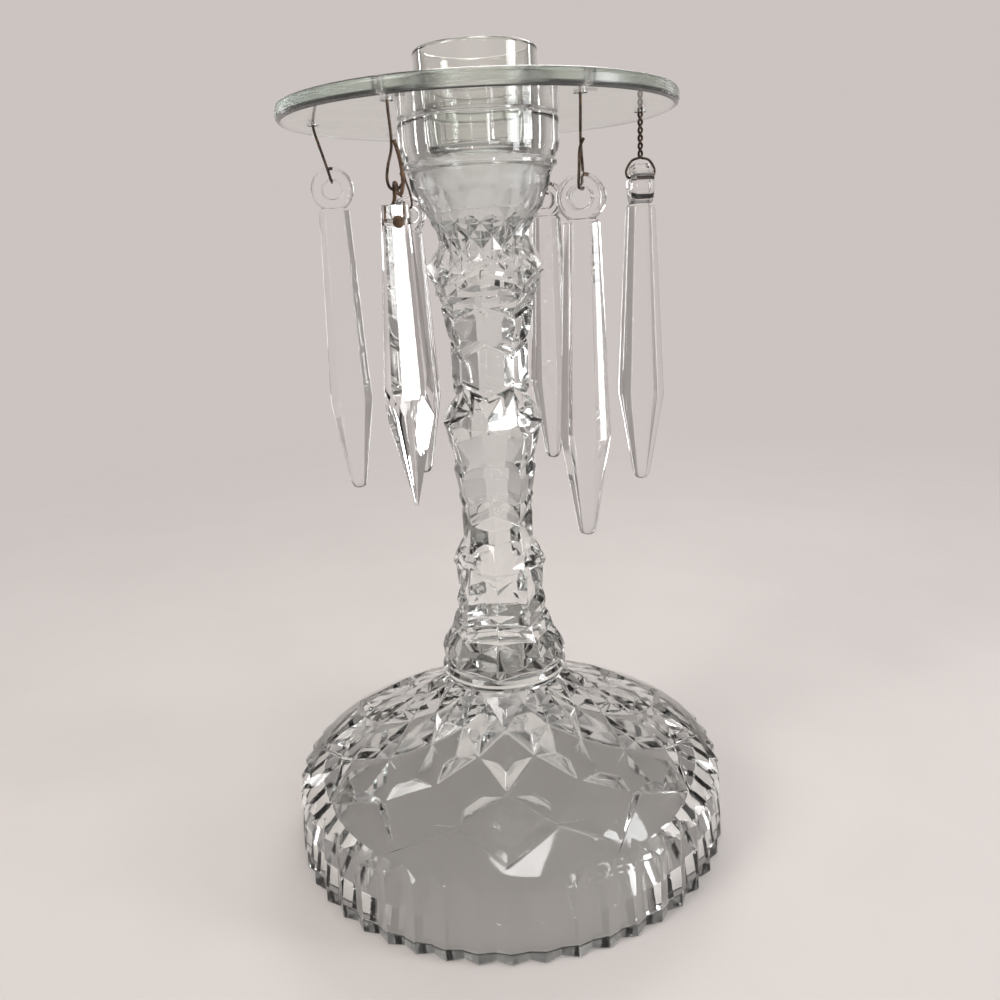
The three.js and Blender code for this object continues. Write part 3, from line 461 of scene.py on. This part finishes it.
soften("candlestick", STICK_ROUND, stick_rounding)
soften("drip_dish", DISH_ROUND)
for name in RING_PRISMS:
    soften(name, PRISM_ROUND)
soften("spear_front_left", SPEAR_ROUND)
dress(["candlestick"], pressed_glass)
dress(["drip_dish"], dish_glass)
dress([*RING_PRISMS, "spear_front_left"], drop_glass)
print("softened and dressed: the stick, the dish, the spear and", len(RING_PRISMS), "prisms")

# %% [markdown]
# ## Dark wire and the tarnished pin
#
# The wires are soft iron gone nearly black, with brown where rust has started. The pin
# through the spear is brass under a dull brown coat. One flat colour would look painted
# on, so each metal has a coat in two tones and specks where it is worn. Both are slightly
# rough, and fine pits break up their shine.

# %% Build a tarnished metal, its patches in millimetres
COAT_PATCHES = 1.6
SPECKS = 0.9
SPECKS_FROM = 0.56
SPECKS_FULL = 0.68
DULL_PATCHES = 0.7
PITS = 0.35
PIT_DEPTH = 0.03


def tarnished_metal(name, dark, light, worn, roughness, metal):
    """A metal with a dark coat, lighter patches and specks of a third colour."""
    material, tree, output = new_material(name)
    body = tree.nodes.new("ShaderNodeBsdfPrincipled")
    body.inputs["Metallic"].default_value = metal
    coat = two_colours(tree, clouds(tree, COAT_PATCHES, detail=5), dark, light)
    specks = spread(tree, clouds(tree, SPECKS, detail=6), 0, 1, SPECKS_FROM, SPECKS_FULL)
    mix = tree.nodes.new("ShaderNodeMix")
    mix.data_type = "RGBA"
    tree.links.new(specks, mix.inputs["Factor"])
    tree.links.new(coat, mix.inputs["A"])
    mix.inputs["B"].default_value = (*worn, 1)
    tree.links.new(mix.outputs["Result"], body.inputs["Base Color"])
    dullness = spread(tree, clouds(tree, DULL_PATCHES, detail=5), *roughness)
    tree.links.new(dullness, body.inputs["Roughness"])
    pits = waves(tree, clouds(tree, PITS, detail=4), PIT_DEPTH)
    tree.links.new(pits, body.inputs["Normal"])
    tree.links.new(body.outputs["BSDF"], output.inputs["Surface"])
    return material


# %% Make the two metal finishes
iron_wire = tarnished_metal(
    "iron_wire", dark=(0.030, 0.022, 0.017), light=(0.090, 0.066, 0.050),
    worn=(0.16, 0.085, 0.045), roughness=(0.30, 0.55), metal=0.85,
)
brass_pin = tarnished_metal(
    "brass_pin", dark=(0.050, 0.031, 0.020), light=(0.13, 0.078, 0.045),
    worn=(0.22, 0.125, 0.065), roughness=(0.38, 0.62), metal=0.6,
)
print("metal finishes:", iron_wire.name, brass_pin.name)

# %% [markdown]
# ## Wires bent by hand
#
# Each drop hangs on a short wire that was bent with pliers: it lies along the top of the
# dish, goes down a hole, through the eye of the drop and back up beside itself. A wire
# could be swept as a mesh tube, but a curve with a round thickness is simpler and stays
# perfectly round. Each curve passes through a few points, given by how far they lie
# along the rim, along the eye and below the dish, so the route of the solid is kept.
#
# The smooth curve goes through every one of its points, and its speed follows the square
# root of the distance between them, so that a tight bend between close points makes no
# kink and no loop of its own.

# %% Measures of the wires, in millimetres
DISH_UNDERSIDE = 205.55
DISH_TOP = 209.45
HOLE_CIRCLE = 42.28
HOLE_TURN = 2.6
EYE_HOLE_RADIUS = 2.4
EYE_HALF_WIDTH = 3.0
WIRE_RADIUS = 0.34
OVER_THE_DISH = 0.04
UNDER_THE_EYE_TOP = 0.06
RESTING = DISH_TOP + WIRE_RADIUS + OVER_THE_DISH
TOP_LEG = 4.6
BESIDE_THE_EYE = 0.75
LOOP_SIDE = EYE_HALF_WIDTH + BESIDE_THE_EYE
print("the wires' middles rest at the height", round(RESTING, 2))


# %% Find the places at a hole
def around(radius, azimuth, height):
    """A point at this radius and height, its azimuth in degrees from the front."""
    angle = math.radians(azimuth)
    return Vector((radius * math.sin(angle), -radius * math.cos(angle), height))


def hanging_place(hole, facing, drawn_in=0.0, loop_height=None):
    """Places points at one hole: along the rim, along the direction faced, and up."""
    rim = around(1, hole + HOLE_TURN + 90, 0)
    front = around(1, facing, 0)

    def at(along_rim, along_front, height):
        share = 0.0
        if loop_height is not None:
            share = (DISH_UNDERSIDE - height) / (DISH_UNDERSIDE - loop_height)
        radius = HOLE_CIRCLE - drawn_in * min(max(share, 0.0), 1.0)
        spot = around(radius, hole + HOLE_TURN, height)
        return spot + along_rim * rim + along_front * front

    return at


# %% A smooth curve through points
ROUTE_STEPS = 8


def between(a, b, c, d, share):
    """A point between b and c on the smooth curve through a, b, c and d."""
    before, middle, after = [math.sqrt((q - p).length) for p, q in ((a, b), (b, c), (c, d))]
    start = ((b - a) / before - (c - a) / (before + middle) + (c - b) / middle) * middle
    end = ((c - b) / middle - (d - b) / (middle + after) + (d - c) / after) * middle
    bend = -3 * b + 3 * c - 2 * start - end
    turn = 2 * b - 2 * c + start + end
    return b + start * share + bend * share ** 2 + turn * share ** 3


def smooth_route(points):
    """The route through all the points, in a few steps from one to the next."""
    ends = [2 * points[0] - points[1], *points, 2 * points[-1] - points[-2]]
    route = []
    for a, b, c, d in zip(ends, ends[1:], ends[2:], ends[3:]):
        route += [between(a, b, c, d, step / ROUTE_STEPS) for step in range(ROUTE_STEPS)]
    return route + [points[-1]]


# %% Bend a round wire
WIRE_ROUNDNESS = 3


def bent_wire(name, points, radius, finish):
    """A round wire along the smooth route through the points."""
    curve = bpy.data.curves.new(name, "CURVE")
    curve.dimensions = "3D"
    curve.bevel_depth = radius * MM
    curve.bevel_resolution = WIRE_ROUNDNESS
    curve.use_fill_caps = True
    route = smooth_route(points)
    spline = curve.splines.new("POLY")
    spline.points.add(len(route) - 1)
    for place, spot in zip(spline.points, route):
        place.co = (*(spot * MM), 1)
    curve.materials.append(finish)
    wire = bpy.data.objects.new(name, curve)
    scene.collection.objects.link(wire)
    length = sum((end - start).length for start, end in zip(route, route[1:]))
    print(name, "is", round(length, 1), "mm long")
    return wire


# %% The route of a hairpin wire
def hairpin_points(at, crossing, fork):
    """Along the dish, down the hole, through the eye and up again beside itself."""
    return [
        at(TOP_LEG, 0, RESTING),
        at(1.6, 0, RESTING),
        at(0.5, 0, RESTING - 0.2),
        at(0, 0, RESTING - 1.2),
        at(0, 0, DISH_UNDERSIDE - 1),
        at(0, 0, fork),
        at(0, -LOOP_SIDE * 0.75, crossing + 4.4),
        at(0, -LOOP_SIDE, crossing + 1.2),
        at(0, -LOOP_SIDE + 0.5, crossing + 0.15),
        at(0, -EYE_HALF_WIDTH + 0.6, crossing),
        at(0, EYE_HALF_WIDTH - 0.6, crossing),
        at(0, LOOP_SIDE - 0.5, crossing + 0.15),
        at(0, LOOP_SIDE, crossing + 1.2),
        at(0, LOOP_SIDE * 0.8, crossing + 3.6),
        at(0, 1.3, fork - 1.4),
        at(0.9, 0.5, fork + 0.6),
    ]


# %% Hang a wire in its eye
def wire_crossing(eye_drop):
    """The height where the wire bears on the top of the eye's hole."""
    return DISH_UNDERSIDE - eye_drop + EYE_HOLE_RADIUS - WIRE_RADIUS - UNDER_THE_EYE_TOP


def hang(wire, place_name, node_name):
    """Lets the wire stand for its solid and swing with it."""
    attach(wire, "hanger_" + place_name)
    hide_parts(node_name)


# %% Bend the four hairpins
# The hole's and the prism's directions in degrees from the front, how far below the dish
# the middle of the eye and the fork of the wire hang, and how far the loop is drawn in.
HAIRPINS = {
    "left": {"hole": -90, "facing": 8, "eye": 15.65, "fork": 5.15, "drawn_in": 3.6},
    "front_right": {"hole": 30, "facing": -14, "eye": 21.85, "fork": 9.95, "drawn_in": 0.4},
    "back_right": {"hole": 150, "facing": 160, "eye": 19.15, "fork": 9.05, "drawn_in": 0.0},
    "back_left": {"hole": -150, "facing": -148, "eye": 21.65, "fork": 10.15, "drawn_in": 0.0},
}
for place_name, hairpin in HAIRPINS.items():
    crossing = wire_crossing(hairpin["eye"])
    at = hanging_place(hairpin["hole"], hairpin["facing"], hairpin["drawn_in"], crossing)
    points = hairpin_points(at, crossing, DISH_UNDERSIDE - hairpin["fork"])
    wire = bent_wire("hairpin_" + place_name, points, WIRE_RADIUS, iron_wire)
    hang(wire, place_name, "wire_" + place_name)

# %% [markdown]
# ## The twisted wire on the right
#
# On the right a longer wire was used: its two ends were twisted round each other, taken
# up through the hole together and spread apart on the dish. The twist shows in the
# wire's outline, so a pattern on a straight wire won't do. The two strands are half a turn
# apart, so one formula gives both.

# %% The route of the twisted wire
TWIST_RADIUS = 0.44
TWIST_TURNS = 3.5
TWIST_STATIONS = 22
TWIST_STARTS_BELOW = 1.4


def twisted_points(at, crossing, fork):
    """Down one strand, through the eye and up the other strand."""
    top = DISH_TOP - TWIST_STARTS_BELOW

    def strand(station, half_turn):
        share = station / TWIST_STATIONS
        angle = share * TWIST_TURNS * 2 * math.pi + half_turn * math.pi
        height = top + (fork - top) * share
        return at(TWIST_RADIUS * math.cos(angle), TWIST_RADIUS * math.sin(angle), height)

    down = [strand(station, 0) for station in range(TWIST_STATIONS + 1)]
    up_again = [strand(station, 1) for station in range(TWIST_STATIONS, -1, -1)]
    start = [at(TOP_LEG, 0, RESTING), at(1.5, 0, RESTING), at(0.7, 0, RESTING - 0.5)]
    end = [at(-0.7, 0, RESTING - 0.5), at(-1.5, 0, RESTING), at(-TOP_LEG, 0, RESTING)]
    loop = [
        at(0, -LOOP_SIDE * 0.6, crossing + 4.2),
        at(0, -LOOP_SIDE, crossing + 1.6),
        at(0, -LOOP_SIDE + 0.4, crossing + 0.15),
        at(0, -EYE_HALF_WIDTH + 0.6, crossing),
        at(0, EYE_HALF_WIDTH - 0.6, crossing),
        at(0, LOOP_SIDE - 0.4, crossing + 0.15),
        at(0, LOOP_SIDE, crossing + 1.6),
        at(0, LOOP_SIDE * 0.6, crossing + 4.2),
    ]
    return start + down + loop + up_again + end


# %% Twist the wire on the right
TWISTED_HOLE = 90
TWISTED_FACING = 90
TWISTED_EYE = 17.95
TWISTED_FORK = 10.95
THINNER_STRAND = 0.94
crossing = wire_crossing(TWISTED_EYE)
at = hanging_place(TWISTED_HOLE, TWISTED_FACING)
points = twisted_points(at, crossing, DISH_UNDERSIDE - TWISTED_FORK)
twisted = bent_wire("twisted_right", points, WIRE_RADIUS * THINNER_STRAND, iron_wire)
hang(twisted, "right", "wire_right")

# %% [markdown]
# ## Hook and pin of the spear
#
# The flat spear has no eye. A thin pin with a round head goes through its drilled hole,
# is bent up behind it and looped over an open hook. The pin's head is a low dome, turned
# from a short profile and joined to the shank where it meets the glass.

# %% Bend the hook
SPEAR_HOLE = -30
SPEAR_FACING = 14
HOOK_BOTTOM = DISH_UNDERSIDE - 18.35
PIN_HEIGHT = DISH_UNDERSIDE - 25.25
at_spear = hanging_place(SPEAR_HOLE, SPEAR_FACING)
sideways = around(1, SPEAR_FACING + 90, 0)
hook_points = [
    at_spear(TOP_LEG, 0, RESTING),
    at_spear(1.6, 0, RESTING),
    at_spear(0.5, 0, RESTING - 0.2),
    at_spear(0, 0, RESTING - 1.2),
    at_spear(0, 0, DISH_UNDERSIDE - 1),
]
# The open bend: how far sideways of the hole, and how far above the hook's lowest point
HOOK_BEND = [
    (0.2, 9), (-0.9, 5), (-1.3, 2.2), (-0.8, 0.5), (0.3, 0), (1.2, 0.3), (2.1, 1.3),
]
for across, above in HOOK_BEND:
    hook_points.append(at_spear(0, 0, HOOK_BOTTOM + above) + across * sideways)
hook = bent_wire("hook_front_left", hook_points, WIRE_RADIUS, iron_wire)
hang(hook, "front_left", "wire_front_left")

# %% Bend the pin
PIN_RADIUS = 0.45
PIN_PLAY = 0.3
PIN_REACH = WIRE_RADIUS + PIN_RADIUS + PIN_PLAY


def pin_spot(forward, across, height):
    """A point of the pin: ahead of the hole's middle, sideways of it, and its height."""
    return at_spear(0, forward, height) + across * sideways


shank_points = [
    pin_spot(3.6, 0, PIN_HEIGHT),
    pin_spot(0, 0, PIN_HEIGHT),
    pin_spot(-3.0, 0, PIN_HEIGHT),
    pin_spot(-3.9, 0, PIN_HEIGHT + 0.8),
    pin_spot(-3.8, 0, PIN_HEIGHT + 3.2),
    pin_spot(-1.6, 0.3, PIN_HEIGHT + 5.2),
    pin_spot(-PIN_REACH, 0.3, HOOK_BOTTOM - 0.5),
    pin_spot(-PIN_REACH, 0.3, HOOK_BOTTOM + 0.6),
    pin_spot(-0.4, 0.3, HOOK_BOTTOM + PIN_REACH + 0.3),
    pin_spot(0.4, 0.4, HOOK_BOTTOM + PIN_REACH + 0.3),
    pin_spot(PIN_REACH, 0.5, HOOK_BOTTOM + 0.6),
    pin_spot(PIN_REACH + 0.1, 0.6, HOOK_BOTTOM - 0.6),
    pin_spot(PIN_REACH + 0.9, 1.2, HOOK_BOTTOM - 1.0),
    pin_spot(PIN_REACH + 1.2, 1.8, HOOK_BOTTOM + 1.2),
    pin_spot(PIN_REACH + 1.0, 1.5, HOOK_BOTTOM + 6.4),
    pin_spot(PIN_REACH + 1.1, 0.5, HOOK_BOTTOM + 10.2),
]
shank = bent_wire("pin_shank", shank_points, PIN_RADIUS, brass_pin)


# %% A head turned round its axis
def turned_head(name, profile, sides):
    """A body turned round its axis, from (distance along the axis, radius) pairs."""
    mesh = bmesh.new()
    rings = []
    for along, radius in profile:
        ring = []
        for side in range(sides):
            angle = side * 2 * math.pi / sides
            spot = (radius * math.cos(angle), radius * math.sin(angle), along)
            ring.append(mesh.verts.new(Vector(spot) * MM))
        rings.append(ring)
    for low, high in zip(rings, rings[1:]):
        for side in range(sides):
            after = (side + 1) % sides
            mesh.faces.new((low[side], low[after], high[after], high[side]))
    mesh.faces.new(reversed(rings[0]))
    mesh.faces.new(rings[-1])
    for face in mesh.faces:
        face.smooth = True
    data = bpy.data.meshes.new(name)
    mesh.to_mesh(data)
    mesh.free()
    head = bpy.data.objects.new(name, data)
    scene.collection.objects.link(head)
    return head


# %% Put the head on the pin
PIN_HEAD_RADIUS = 1.35
PIN_HEAD_AHEAD = 3.65
HEAD_SIDES = 28
HEAD_PROFILE = [
    (-0.62, 0.7), (-0.6, 1.1), (-0.35, PIN_HEAD_RADIUS - 0.06), (0.0, PIN_HEAD_RADIUS),
    (0.28, PIN_HEAD_RADIUS - 0.14), (0.5, 0.98), (0.66, 0.6), (0.72, 0.22),
]
head = turned_head("pin_head", HEAD_PROFILE, HEAD_SIDES)
head.data.materials.append(brass_pin)
facing_out = around(1, SPEAR_FACING, 0)
turned_out = facing_out.to_track_quat("Z", "Y").to_matrix().to_4x4()
head_place = pin_spot(PIN_HEAD_AHEAD, 0, PIN_HEIGHT) * MM
head.matrix_world = Matrix.Translation(head_place) @ turned_out
for piece in (shank, head):
    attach(piece, "pin_front_left")
    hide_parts("pin_front_left")
print("pin head is", 2 * PIN_HEAD_RADIUS, "mm across")

# %% [markdown]
# ## Table
#
# The stick stands on a plain pale table, which fades into the pale surround away from
# it, so that no edge of the table shows through the glass. The table lies a hair below
# the foot: with both in the very same plane, a dark zigzag shows under the rim.

# %% A finish that fades away
TABLE_COLOUR = (0.62, 0.575, 0.555)
TABLE_SOLID_TO = 0.22
TABLE_GONE_AT = 0.62
TABLE_ROUGHNESS = 0.75
TABLE_PATCHES = 60
PATCH_DARKNESS = 0.97


def table_material():
    """A pale matt table that fades into the pale room away from the stick."""
    material, tree, output = new_material("table")
    body = tree.nodes.new("ShaderNodeBsdfPrincipled")
    darker = tuple(PATCH_DARKNESS * value for value in TABLE_COLOUR)
    colour = two_colours(tree, clouds(tree, TABLE_PATCHES, detail=3), darker, TABLE_COLOUR)
    tree.links.new(colour, body.inputs["Base Color"])
    body.inputs["Roughness"].default_value = TABLE_ROUGHNESS
    place = tree.nodes.new("ShaderNodeTexCoord")
    reach = tree.nodes.new("ShaderNodeVectorMath")
    reach.operation = "LENGTH"
    tree.links.new(place.outputs["Object"], reach.inputs[0])
    fade = spread(tree, reach.outputs["Value"], 0, 1, TABLE_SOLID_TO, TABLE_GONE_AT)
    clear = tree.nodes.new("ShaderNodeBsdfTransparent")
    surface = mixed(tree, fade, body.outputs["BSDF"], clear.outputs["BSDF"])
    tree.links.new(surface, output.inputs["Surface"])
    return material


# %% Make the table
TABLE_RADIUS = 0.7
TABLE_CORNERS = 96
TABLE_CLEAR_OF_FOOT = 0.3
bpy.ops.mesh.primitive_circle_add(
    vertices=TABLE_CORNERS, radius=TABLE_RADIUS, fill_type="NGON",
    location=(0, 0, -TABLE_CLEAR_OF_FOOT * MM),
)
table = bpy.context.object
table.name = "table"
table.data.materials.append(table_material())
print("the table solid to", TABLE_SOLID_TO, "m and gone at", TABLE_GONE_AT, "m from the stick")

# %% [markdown]
# ## The room that the glass shows
#
# Clear glass has no look of its own: it shows the room, bent and turned over. The wall
# behind the stick is pale and plain, and a few tones by height are enough to make it. Out
# of the picture, to the left and the right, the room is darker, and this is what draws
# grey lines along the edges of the drops. The camera's own rays don't see these darker
# sides, and the table is lit by a plain, even light of the room. So the room has three
# looks, chosen by the kind of ray that asks.

# %% The darker sides of the room
SIDE_STARTS = 0.30
SIDE_FULL = 0.62
SIDE_DARKNESS = 0.45


def darker_sides(tree, parts):
    """One in the middle of the room, falling to a low share on its left and right."""
    sideways = tree.nodes.new("ShaderNodeMath")
    sideways.operation = "ABSOLUTE"
    tree.links.new(parts.outputs["X"], sideways.inputs[0])
    return spread(tree, sideways.outputs["Value"], 1.0, SIDE_DARKNESS, SIDE_STARTS, SIDE_FULL)


# %% The pale wall
ROOM_LOW = (0.60, 0.55, 0.53)
ROOM_HIGH = (0.27, 0.26, 0.255)
ROOM_TOP = (0.17, 0.165, 0.16)
LOW_UP_TO = 0.30
HIGH_FROM = 0.62
TOP_FROM = 0.95


def wall_colours(tree, height):
    """The pale wall, darker towards the ceiling."""
    ramp = tree.nodes.new("ShaderNodeValToRGB")
    ramp.color_ramp.interpolation = "EASE"
    ramp.color_ramp.elements[0].position = LOW_UP_TO
    ramp.color_ramp.elements[0].color = (*ROOM_LOW, 1)
    ramp.color_ramp.elements[1].position = HIGH_FROM
    ramp.color_ramp.elements[1].color = (*ROOM_HIGH, 1)
    top = ramp.color_ramp.elements.new(TOP_FROM)
    top.color = (*ROOM_TOP, 1)
    tree.links.new(height, ramp.inputs["Fac"])
    return ramp.outputs["Color"]


# %% Set up the room
WORLD_COLOUR = (1.0, 0.985, 0.97)
WORLD_LIGHT = 0.4


def room():
    """A pale wall for the camera, one with dark sides for glass, and a plain light."""
    world = bpy.data.worlds.new("room")
    world.use_nodes = True
    tree = world.node_tree
    tree.nodes.clear()
    output = tree.nodes.new("ShaderNodeOutputWorld")
    place = tree.nodes.new("ShaderNodeTexCoord")
    parts = tree.nodes.new("ShaderNodeSeparateXYZ")
    tree.links.new(place.outputs["Generated"], parts.inputs["Vector"])
    wall = wall_colours(tree, parts.outputs["Z"])
    seen = tree.nodes.new("ShaderNodeBackground")
    tree.links.new(wall, seen.inputs["Color"])
    in_glass = tree.nodes.new("ShaderNodeBackground")
    tree.links.new(wall, in_glass.inputs["Color"])
    tree.links.new(darker_sides(tree, parts), in_glass.inputs["Strength"])
    light = tree.nodes.new("ShaderNodeBackground")
    light.inputs["Color"].default_value = (*WORLD_COLOUR, 1)
    light.inputs["Strength"].default_value = WORLD_LIGHT
    path = tree.nodes.new("ShaderNodeLightPath")
    rays = path.outputs
    by_glass = combined(tree, "MAXIMUM", rays["Is Glossy Ray"], rays["Is Transmission Ray"])
    unseen = mixed(tree, by_glass, light.outputs["Background"], in_glass.outputs["Background"])
    whole = mixed(tree, rays["Is Camera Ray"], unseen, seen.outputs["Background"])
    tree.links.new(whole, output.inputs["Surface"])
    return world


scene.world = room()
print("the room is pale up to", LOW_UP_TO, "and its sides darken from", SIDE_STARTS)

# %% [markdown]
# ## Lamps
#
# Three large soft lamps, at the left, overhead and behind, light the table and give the
# facets their small highlights. They don't show through the glass, where each would turn
# a whole facet into a hard white patch. A tall lamp at the right and two narrow ones
# behind draw bright lines along the edges of the drops. The window strip in front stands
# where the flat face of the spear throws it back, and so that face is white. The camera
# itself sees none of the lamps.

# %% Make a soft lamp
STICK_MIDDLE = (0, 0, 0.11)


def soft_lamp(name, place, size, power, colour, aim_at=STICK_MIDDLE, through_glass=True):
    """A soft rectangular lamp, which may or may not show through glass."""
    data = bpy.data.lights.new(name, "AREA")
    data.shape = "RECTANGLE"
    data.size, data.size_y = size
    data.energy = power
    data.color = colour
    lamp = bpy.data.objects.new(name, data)
    scene.collection.objects.link(lamp)
    lamp.location = place
    aim = Vector(aim_at) - Vector(place)
    lamp.rotation_euler = aim.to_track_quat("-Z", "Y").to_euler()
    lamp.visible_camera = False
    lamp.visible_transmission = through_glass
    return lamp


# %% Hang the lamps
DROPS_FRONT_RIGHT = (0.02, -0.02, 0.14)
soft_lamp(
    "lamp_left", place=(-0.75, -0.55, 0.75), size=(0.40, 0.55), power=6.0,
    colour=(1.0, 0.97, 0.94), through_glass=False,
)
soft_lamp(
    "lamp_top", place=(0.06, -0.04, 0.95), size=(0.26, 0.26), power=2.2,
    colour=(1.0, 0.99, 0.98), through_glass=False,
)
soft_lamp(
    "lamp_right", place=(0.66, -0.22, 0.15), size=(0.16, 0.46), power=3.2,
    colour=(0.96, 0.98, 1.0), aim_at=DROPS_FRONT_RIGHT,
)
soft_lamp(
    "lamp_back", place=(0.20, 0.80, 0.80), size=(0.60, 0.35), power=3.0,
    colour=(1.0, 0.98, 0.96), through_glass=False,
)

# %% Hang the narrow strips
DROPS_MIDDLE = (0, 0, 0.15)
SPEAR_FACE = (-0.02, -0.04, 0.16)
for side, place in (("left", (-0.66, 0.62, 0.16)), ("right", (0.68, 0.60, 0.16))):
    soft_lamp(
        "strip_back_" + side, place, size=(0.05, 0.34), power=0.35,
        colour=(1.0, 0.99, 0.98), aim_at=DROPS_MIDDLE,
    )
soft_lamp(
    "window_strip", place=(0.25, -0.685, 0.152), size=(0.036, 0.26), power=0.65,
    colour=(1.0, 1.0, 1.0), aim_at=SPEAR_FACE,
)
scene.view_settings.view_transform = "Standard"
print("lamps hung:", len(bpy.data.lights))
